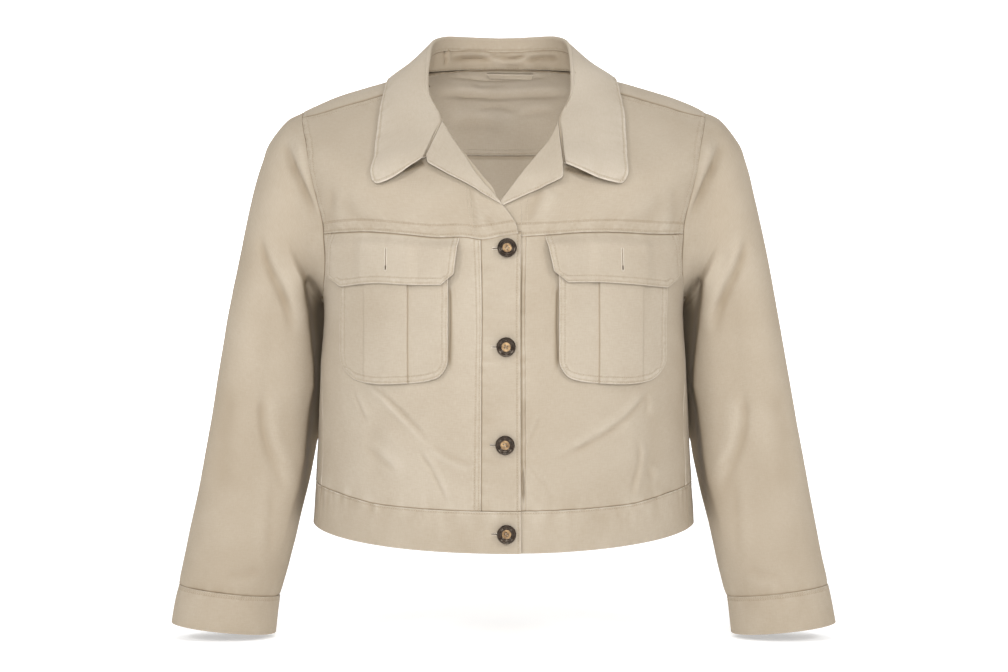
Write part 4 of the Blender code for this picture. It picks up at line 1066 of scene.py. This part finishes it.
def sheet_of(grid, uneven, rise=0.0, rows=(), shade=0.0):
    """A surface through a grid of points, with some rise, creases and unevenness, and painted shade where it is given.
    """
    across, up = grid_runs(grid, False)
    normal = unit(np.cross(across, up))
    moved = creased(grid, rows)
    grid = grid + normal * (uneven * wander(grid, 0.03, 6) + rise + moved)[..., None]
    return between(np.concatenate([grid, normal, (moved - shade)[..., None]], -1))


# How far the collar's ends belly out and rise by the notch, the share of the collar that does, where on the leaf the
# notch is, and the painted shade on the collar's strip inside the neck
END_OUT, END_RISE, END_REACH, NOTCH_AT, INSIDE_SHADE = 0.0076, 0.0075, 0.05, 0.28, 0.0041
whole = np.concatenate([collar_half(RIGHT)[::-1], collar_half(LEFT)[1:]])
folded = across_sections(whole[:, 2:], 81)
to_section, station = np.linspace(0, 8, len(folded)), np.arange(len(whole))
by_end = np.exp(-(np.minimum(station, station[::-1]) / len(whole) / END_REACH) ** 2)
out_share = np.clip((to_section - 2.2) / 5.8, 0, 1)[:, None]
toward_end = np.where(station < len(whole) / 2, -1, 1)[:, None] * unit(np.gradient(folded, axis=1))
folded = folded + END_OUT * (by_end * np.sin(np.pi * out_share) ** 0.8)[..., None] * toward_end
notch = out_share / NOTCH_AT
by_notch = END_RISE * by_end * notch * np.exp(1 - notch) * (1 - out_share) ** 0.5
inside_neck = INSIDE_SHADE * ease((1.7 - to_section) / 0.9)[:, None]
piece("collar", sheet_of(folded, 0.0006, by_notch, shade=inside_neck), COLLAR_WALL, ("over", "free", "free", "free"),
      (0.0, 0.0004, 0.0004, 0.0004),
      [(TOP, EDGE_ROW), (LEFT_EDGE, EDGE_ROW), (RIGHT_EDGE, EDGE_ROW), (BOTTOM, 0.0014, 0.1, 0.9)],
      [(TOP, LEFT_EDGE, 0.0045, 0.0045, False), (TOP, RIGHT_EDGE, 0.0026, 0.0026, False)], step=0.0028, tone=0.15)
STAND_CREASES = [
    (1, 2.4, 3.4, (-60, 39.5), (-30, 44), (-6, 40)),
    (-1, 2, 2.6, (-20, 47.5), (8, 44), (30, 47)),
    (1, 2.4, 3.4, (18, 39), (40, 43), (62, 40)),
    (1, 1.2, 3, (-62.5, 58), (-62.2, 30)),
]
STAND_END = 0.64
shown = np.abs(np.concatenate([-COLLAR_ROWS[::-1], COLLAR_ROWS[1:]])) <= STAND_END
strip = across_sections(whole[shown][:, :3], 21)
# The stand lies inside the neck, and its dark tone is painted shade
piece("collar_stand", sheet_of(strip, 0.0005, 0.0, STAND_CREASES), TWILL, ("over", "soft", "free", "free"),
      (0.0005, 0.0005, 0, 0), [(TOP, 0.0014), (BOTTOM, 0.0009)], step=0.0020, tone=-0.62)

# Lapels
# The tops of the fronts, doubled with a facing and turned out over the yokes along a soft roll. A seam joins each to
# the collar at the gorge, and one row of stitching follows the edge.
LAPEL_ROLL = {
    RIGHT: [(0.0040, -0.1233), (0.0146, -0.1099), (0.0267, -0.0954), (0.0380, -0.0772), (0.0505, -0.0586)],
    LEFT: [(-0.0060, -0.1255), (0.0084, -0.1067), (0.0197, -0.0923), (0.0317, -0.0773), (0.0464, -0.0587)],
}
LAPEL_EDGE = {
    RIGHT: [(0.0020, -0.1272), (0.0193, -0.1171), (0.0343, -0.1078), (0.0570, -0.0968), (0.0765, -0.0864)],
    LEFT: [(-0.0045, -0.1292), (0.0152, -0.1208), (0.0373, -0.1113), (0.0490, -0.1063), (0.0594, -0.1016)],
}


def on_view(edges, side, out, shade=None):
    """A surface over a front between four edges seen from the front as x from the centre and height."""
    def surface(u, v):
        x, z = np.moveaxis(fill(edges, u, v), -1, 0)
        angle, level = at_front(side * x, z)
        points, normal, moved = draped(angle, level, lap(angle, side) + out(x, u, v))
        return points, normal, moved - (shade(x) if shade else 0.0)
    return surface


for side, word in SIDES:
    top, end = GORGE[side]
    roll, edge = line(LAPEL_ROLL[side] + [tuple(top)]), line(LAPEL_EDGE[side])
    gorge, _ = joined(line([top, end]), line([end, LAPEL_EDGE[side][-1]]))
    edges = (line([roll(0.0), edge(0.0)]), gorge, roll, edge)
    piece(f"lapel_{word}", on_view(edges, side, lambda x, u, v: LAID + COLLAR_WALL + 0.0045 * u * v), COLLAR_WALL,
          ("free", "over", "roll", "free"), (0, 0.0002, 0.0, 0.0004),
          [(RIGHT_EDGE, EDGE_ROW, 0.06, 1.0)], [(TOP, RIGHT_EDGE, 0.004, 0.004, False)], step=0.002,
          tone=0.1 if side == RIGHT else 0.0)

# Pockets
# Patch pockets of single twill with a raised box pleat, turned under at the edges and sewn down with two rows. The
# edge by the centre front stands a little off the panel.
POCKET_IN, PLEAT_IN, PLEAT_OUT, POCKET_OUT, POCKET_TOP = 0.0545, 0.0952, 0.1402, 0.1668, -0.172
POCKET_FOOT = [(POCKET_IN, -0.2975), (0.0780, -0.3042), (0.1035, -0.3066), (0.1280, -0.3071), (0.1500, -0.3036),
               (POCKET_OUT, -0.2965)]
POCKET_RAISE, PLEAT_RAISE, POCKET_STAND = 0.0016, 0.0020, 0.0025
POCKET_ROWS = [(edge, row) for edge in (BOTTOM, LEFT_EDGE, RIGHT_EDGE) for row in (FIRST_ROW, 0.0070)]


def pleat(x, past, slope):
    """The share of the pleat's raise at x from the centre: full between its lines, none past them."""
    return ease((x - PLEAT_IN + past) / slope) * ease((PLEAT_OUT + past - x) / slope)


def edge_stand(x):
    """How far the edge by the centre front stands off, fading out towards the pleat."""
    return POCKET_STAND * ease((PLEAT_IN - x) / (PLEAT_IN - POCKET_IN))


def pocket_out(x, u, v):
    """How far the pocket's outer face lies off the front."""
    return LAID + POCKET_RAISE + PLEAT_RAISE * pleat(x, 0.0004, 0.0008) + edge_stand(x)


def pleat_shade(x):
    """Painted shade along both lines of the pleat, in its folds."""
    from_lines = np.minimum(np.abs(x - PLEAT_IN + 0.0003), np.abs(x - PLEAT_OUT - 0.0003))
    return 0.0058 * np.exp(-(from_lines / 0.00045) ** 2)


marks, margin = [], NEAR[-1] / (POCKET_OUT - POCKET_IN)
for fold in (PLEAT_IN, PLEAT_OUT):
    for past in (-0.02, -0.012, -0.007, -0.003, 0.0, 0.003, 0.007, 0.012, 0.02):
        marks.append(((fold - POCKET_IN) / (POCKET_OUT - POCKET_IN) + past - margin) / (1 - 2 * margin))
for side, word in SIDES:
    corners = [(POCKET_IN, POCKET_TOP), (POCKET_OUT, POCKET_TOP)]
    edges = (line(POCKET_FOOT, 0.1), line(corners), line([POCKET_FOOT[0], corners[0]]),
             line([POCKET_FOOT[-1], corners[1]]))
    piece(f"pocket_{word}", on_view(edges, side, pocket_out, pleat_shade), TWILL, ("over", "free", "over", "over"),
          (0.0004, 0, 0.0003, 0.0003), POCKET_ROWS,
          [(BOTTOM, LEFT_EDGE, 0.017, 0.017, False), (BOTTOM, RIGHT_EDGE, 0.017, 0.024, False)], step=0.0022,
          extra=marks)

# Pocket flaps
# Doubled flaps with clipped lower corners, caught in the yoke seam and lying over the pockets. Two rows of stitching
# run round their edges, and each has an upright buttonhole in its middle.
FLAP_FOOT = {
    RIGHT: [(0.0497, -0.2088), (0.0645, -0.2085), (0.0975, -0.2075), (0.1276, -0.2054), (0.1686, -0.2081),
            (0.1818, -0.2090)],
    LEFT: [(0.0512, -0.2062), (0.0625, -0.2059), (0.0899, -0.2052), (0.1219, -0.2063), (0.1641, -0.2086),
           (0.1826, -0.2094)],
}
FLAP_ENDS = {RIGHT: (12.5, 62.0), LEFT: (11.7, 62.2)}
FLAP_MIDDLE = {RIGHT: 0.1154, LEFT: 0.1168}


def over_pocket(x):
    """How far a flap's outer face lies off the front: over the pocket, then down to the panel beside it."""
    beyond = ease((x - POCKET_OUT - 0.005) / 0.012)
    return 2 * (LAID + POCKET_RAISE) - POCKET_RAISE * beyond + PLEAT_RAISE * pleat(x, 0.012, 0.012) + edge_stand(x)


def flap_out(x, u, v):
    """The flap's outer face from its foot, which stands off a little, up to the seam that catches it."""
    caught = ease((v - 0.74) / 0.26)
    return over_pocket(x) * (1 - caught) + 0.0006 * caught + 0.0014 * (1 - v)


for side, word in SIDES:
    top = body(*yoke_edge(side, *FLAP_ENDS[side]).T)[:, [0, 2]] * (side, 1) - (0, 0.0004)
    foot = FLAP_FOOT[side]
    edges = (line(foot, 0.1), polyline(top, 0.1), line([foot[0], top[0]]), line([foot[-1], top[-1]]))
    piece(f"flap_{word}", on_view(edges, side, flap_out), 0.0020, ("free", "under", "free", "free"),
          (0.0003,) * 4, POCKET_ROWS,
          [(BOTTOM, LEFT_EDGE, 0.0120, 0.0150, True), (BOTTOM, RIGHT_EDGE, 0.0145, 0.0250, True)], step=0.0022,
          tone=0.06 if side == RIGHT else -0.08)
    middle = FLAP_MIDDLE[side]
    angle, level = at_front(np.full(20, side * middle), np.linspace(-0.1704, -0.1920, 20))
    points, normal, _ = draped(angle, level, lap(angle, side) + over_pocket(middle) + np.linspace(0.0004, 0.0011, 20))
    buttonhole(f"flap_{word}_buttonhole", points, normal, True)

# Buttons
# Four turned horn buttons with a raised rim, a ring and a pale centre with four holes, sewn on through the overlap.
BUTTON_PROFILE = [
    # radius and height from the back's edge over the rim to the pale centre's edge
    (0.0080, 0.0002), (0.0092, 0.0009), (0.0097, 0.0020), (0.0095, 0.0029), (0.0087, 0.0035), (0.0079, 0.0034),
    (0.0073, 0.0028), (0.0069, 0.0027), (0.0064, 0.0030), (0.0058, 0.0029), (0.0051, 0.0024), (0.0046, 0.0020),
]
HOLE, HOLE_PLACE, HOLE_DEPTH = 0.00075, 0.0017, 0.0012


def gloss(name, dark, light, roughness):
    """Polished horn with a cloudy grain."""
    made, shader, start = new_material(name)
    grain = start.noise(start.node("ShaderNodeTexCoord", {}, {}, "Object"), 260.0, 3.0)
    made.node_tree.links.new(grain.held(0.35, 0.7).blend(dark, light).socket, shader.inputs["Base Color"])
    shader.inputs["Roughness"].default_value = roughness
    shader.inputs["Specular Tint"].default_value = colour(255, 236, 214)
    return made


def circle(work, x, y, radius, height, count):
    """Points of a circle in a mesh that is being made."""
    turns = [math.tau * k / count for k in range(count)]
    return [work.verts.new((x + radius * math.cos(turn), y + radius * math.sin(turn), height)) for turn in turns]


def faces_between(low, high):
    """The corners of the faces between two circles."""
    after = [*range(1, len(low)), 0]
    return [(low[k], low[n], high[n], high[k]) for k, n in enumerate(after)]


# The near-black third material lines the four holes as painted shade
horns = (gloss("dark_horn", colour(20, 14, 12), colour(48, 36, 28), 0.25),
         gloss("pale_horn", colour(96, 70, 46), colour(186, 154, 112), 0.4),
         gloss("button_hole_shade", colour(20, 14, 10), colour(30, 22, 16), 0.7))
for number, (x, z) in enumerate(BUTTON_PLACES, 1):
    angle, level = (value[None] for value in at_front(x, z))
    points, normal, _ = draped(angle, level, lap(angle, RIGHT) + 0.0009)
    place = Matrix.Translation(Vector(points[0])) @ Vector(normal[0]).to_track_quat("Z", "Y").to_matrix().to_4x4()
    place = place @ Matrix.Rotation(math.radians(12 + 31 * number), 4, "Z")
    work = bmesh.new()
    rings = [circle(work, 0, 0, radius, height, 48) for radius, height in BUTTON_PROFILE]
    work.faces.new(rings[0][::-1])
    for low, high in zip(rings, rings[1:]):
        for corners in faces_between(low, high):
            work.faces.new(corners)
    rim = [work.edges.get(corners[:2]) for corners in faces_between(rings[-1], rings[-1])]
    holes = []
    for quarter in range(4):
        turn = math.pi / 2 * (quarter + 0.5)
        hole = circle(work, HOLE_PLACE * math.cos(turn), HOLE_PLACE * math.sin(turn), HOLE, BUTTON_PROFILE[-1][1], 12)
        rim += [work.edges.new(corners[:2]) for corners in faces_between(hole, hole)]
        holes.append(hole)
    flat = bmesh.ops.triangle_fill(work, use_beauty=True, use_dissolve=False, edges=rim)
    for face in flat["geom"]:
        if isinstance(face, bmesh.types.BMFace):
            face.material_index = 1
    for hole in holes:
        deep = [work.verts.new(v.co - Vector((0, 0, HOLE_DEPTH))) for v in hole]
        for corners in faces_between(hole, deep) + [deep]:
            work.faces.new(corners).material_index = 2
    bmesh.ops.recalc_face_normals(work, faces=work.faces)
    bmesh.ops.transform(work, matrix=place, verts=work.verts)
    mesh = bpy.data.meshes.new(f"button_{number}_horn")
    work.to_mesh(mesh)
    work.free()
    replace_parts(add_piece(mesh, horns, 40), f"button_{number}")
    bars = []
    for across in (-1, 1):
        ends = [place @ Vector((HOLE_PLACE * 0.7 * across, HOLE_PLACE * 0.95 * k, 0.0021)) for k in (-1, 1)]
        bars.append((np.array(ends), np.array([place.to_3x3() @ Vector((0, 0, 1))] * 2)))
    sew(f"button_{number}_thread", bars, 0.0032, 0.00034)

# Hanger loop
# A narrow folded tape of the same twill, caught by both ends in the neck seam inside the back neck.
LOOP = [(161, 0.9835), (189, 0.9835), (192, 0.994), (158, 0.994)]
edges = tuple(line([LOOP[start], LOOP[end]]) for start, end in ((0, 1), (3, 2), (0, 3), (1, 2)))
# The loop's darker tone is painted shade inside the back neck
piece("hanger_loop", on_form(edges, lambda angle: flush(angle) - 0.0026), 0.0014, ("free",) * 4,
      step=0.002, tone=-0.25)

# Floor, backdrop, light and camera
# A pale floor just under the cuffs takes their soft shadow, and a white room lights the jacket evenly from the front.
def stage_plane(name, corners, strength):
    """A plain white surface of the room that shows only from its front."""
    white, shader, start = new_material(name)
    for key, value in (("Base Color", (0.9, 0.9, 0.9, 1)), ("Roughness", 1.0), ("Specular IOR Level", 0.0),
                       ("Emission Color", (1, 1, 1, 1)), ("Emission Strength", strength)):
        shader.inputs[key].default_value = value
    behind = start.node("ShaderNodeNewGeometry", {}, {}, "Backfacing")
    front = Wire(white.node_tree, shader.outputs[0])
    clear = start.node("ShaderNodeBsdfTransparent", {}, {}, 0)
    shown = start.node("ShaderNodeMixShader", {}, {0: behind, 1: front, 2: clear}, 0)
    white.node_tree.links.new(shown.socket, white.node_tree.nodes["Material Output"].inputs["Surface"])
    mesh = new_mesh(name, corners, [(0, 1, 2, 3)])
    mesh.materials.append(white)
    made = bpy.data.objects.new(name, mesh)
    bpy.context.scene.collection.objects.link(made)
    made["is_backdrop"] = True


FLOOR = -0.5755
stage_plane("floor", [(-6, -6, FLOOR), (6, -6, FLOOR), (6, 3, FLOOR), (-6, 3, FLOOR)], 0.43)
stage_plane("backdrop", [(-6, 3, FLOOR), (6, 3, FLOOR), (6, 3, 4), (-6, 3, 4)], 0.75)
LAMPS = [
    # name, place, the point it shines at, size and power
    ("left_lamp", (-2.3, -2.4, 1.5), (0, 0, -0.25), 0.9, 37),
    ("right_lamp", (2.3, -2.4, 1.5), (0, 0, -0.25), 0.9, 37),
    ("front_lamp", (0, -2.7, 0.5), (0, 0, -0.2), 0.9, 26),
    ("upper_lamp", (0, -1.9, 2.2), (0, 0, -0.15), 0.8, 10),
    ("neck_lamp", (0, -0.060, -0.170), (0, 0.10, 0.0), 0.06, 0.18),
]
scene = bpy.context.scene
for name, place, aim, size, power in LAMPS:
    lamp = bpy.data.lights.new(name, "AREA")
    lamp.shape, lamp.size, lamp.energy = "DISK", size, power
    made = bpy.data.objects.new(name, lamp)
    made.location = place
    made.rotation_euler = (Vector(aim) - Vector(place)).to_track_quat("-Z", "Y").to_euler()
    scene.collection.objects.link(made)
scene.world = bpy.data.worlds.new("room")
scene.world.use_nodes = True
room = scene.world.node_tree.nodes["Background"]
room.inputs["Color"].default_value, room.inputs["Strength"].default_value = (1, 1, 1, 1), 0.40
scene.view_settings.view_transform = "Standard"
camera = bpy.data.objects.new("camera", bpy.data.cameras.new("camera"))
camera.data.lens, camera.data.sensor_width = 80.9, 36
camera.location = (0.0005, -2.4, -0.2586)
camera.rotation_euler = (math.radians(90), 0, 0)
scene.collection.objects.link(camera)
scene.camera = camera

low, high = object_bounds()
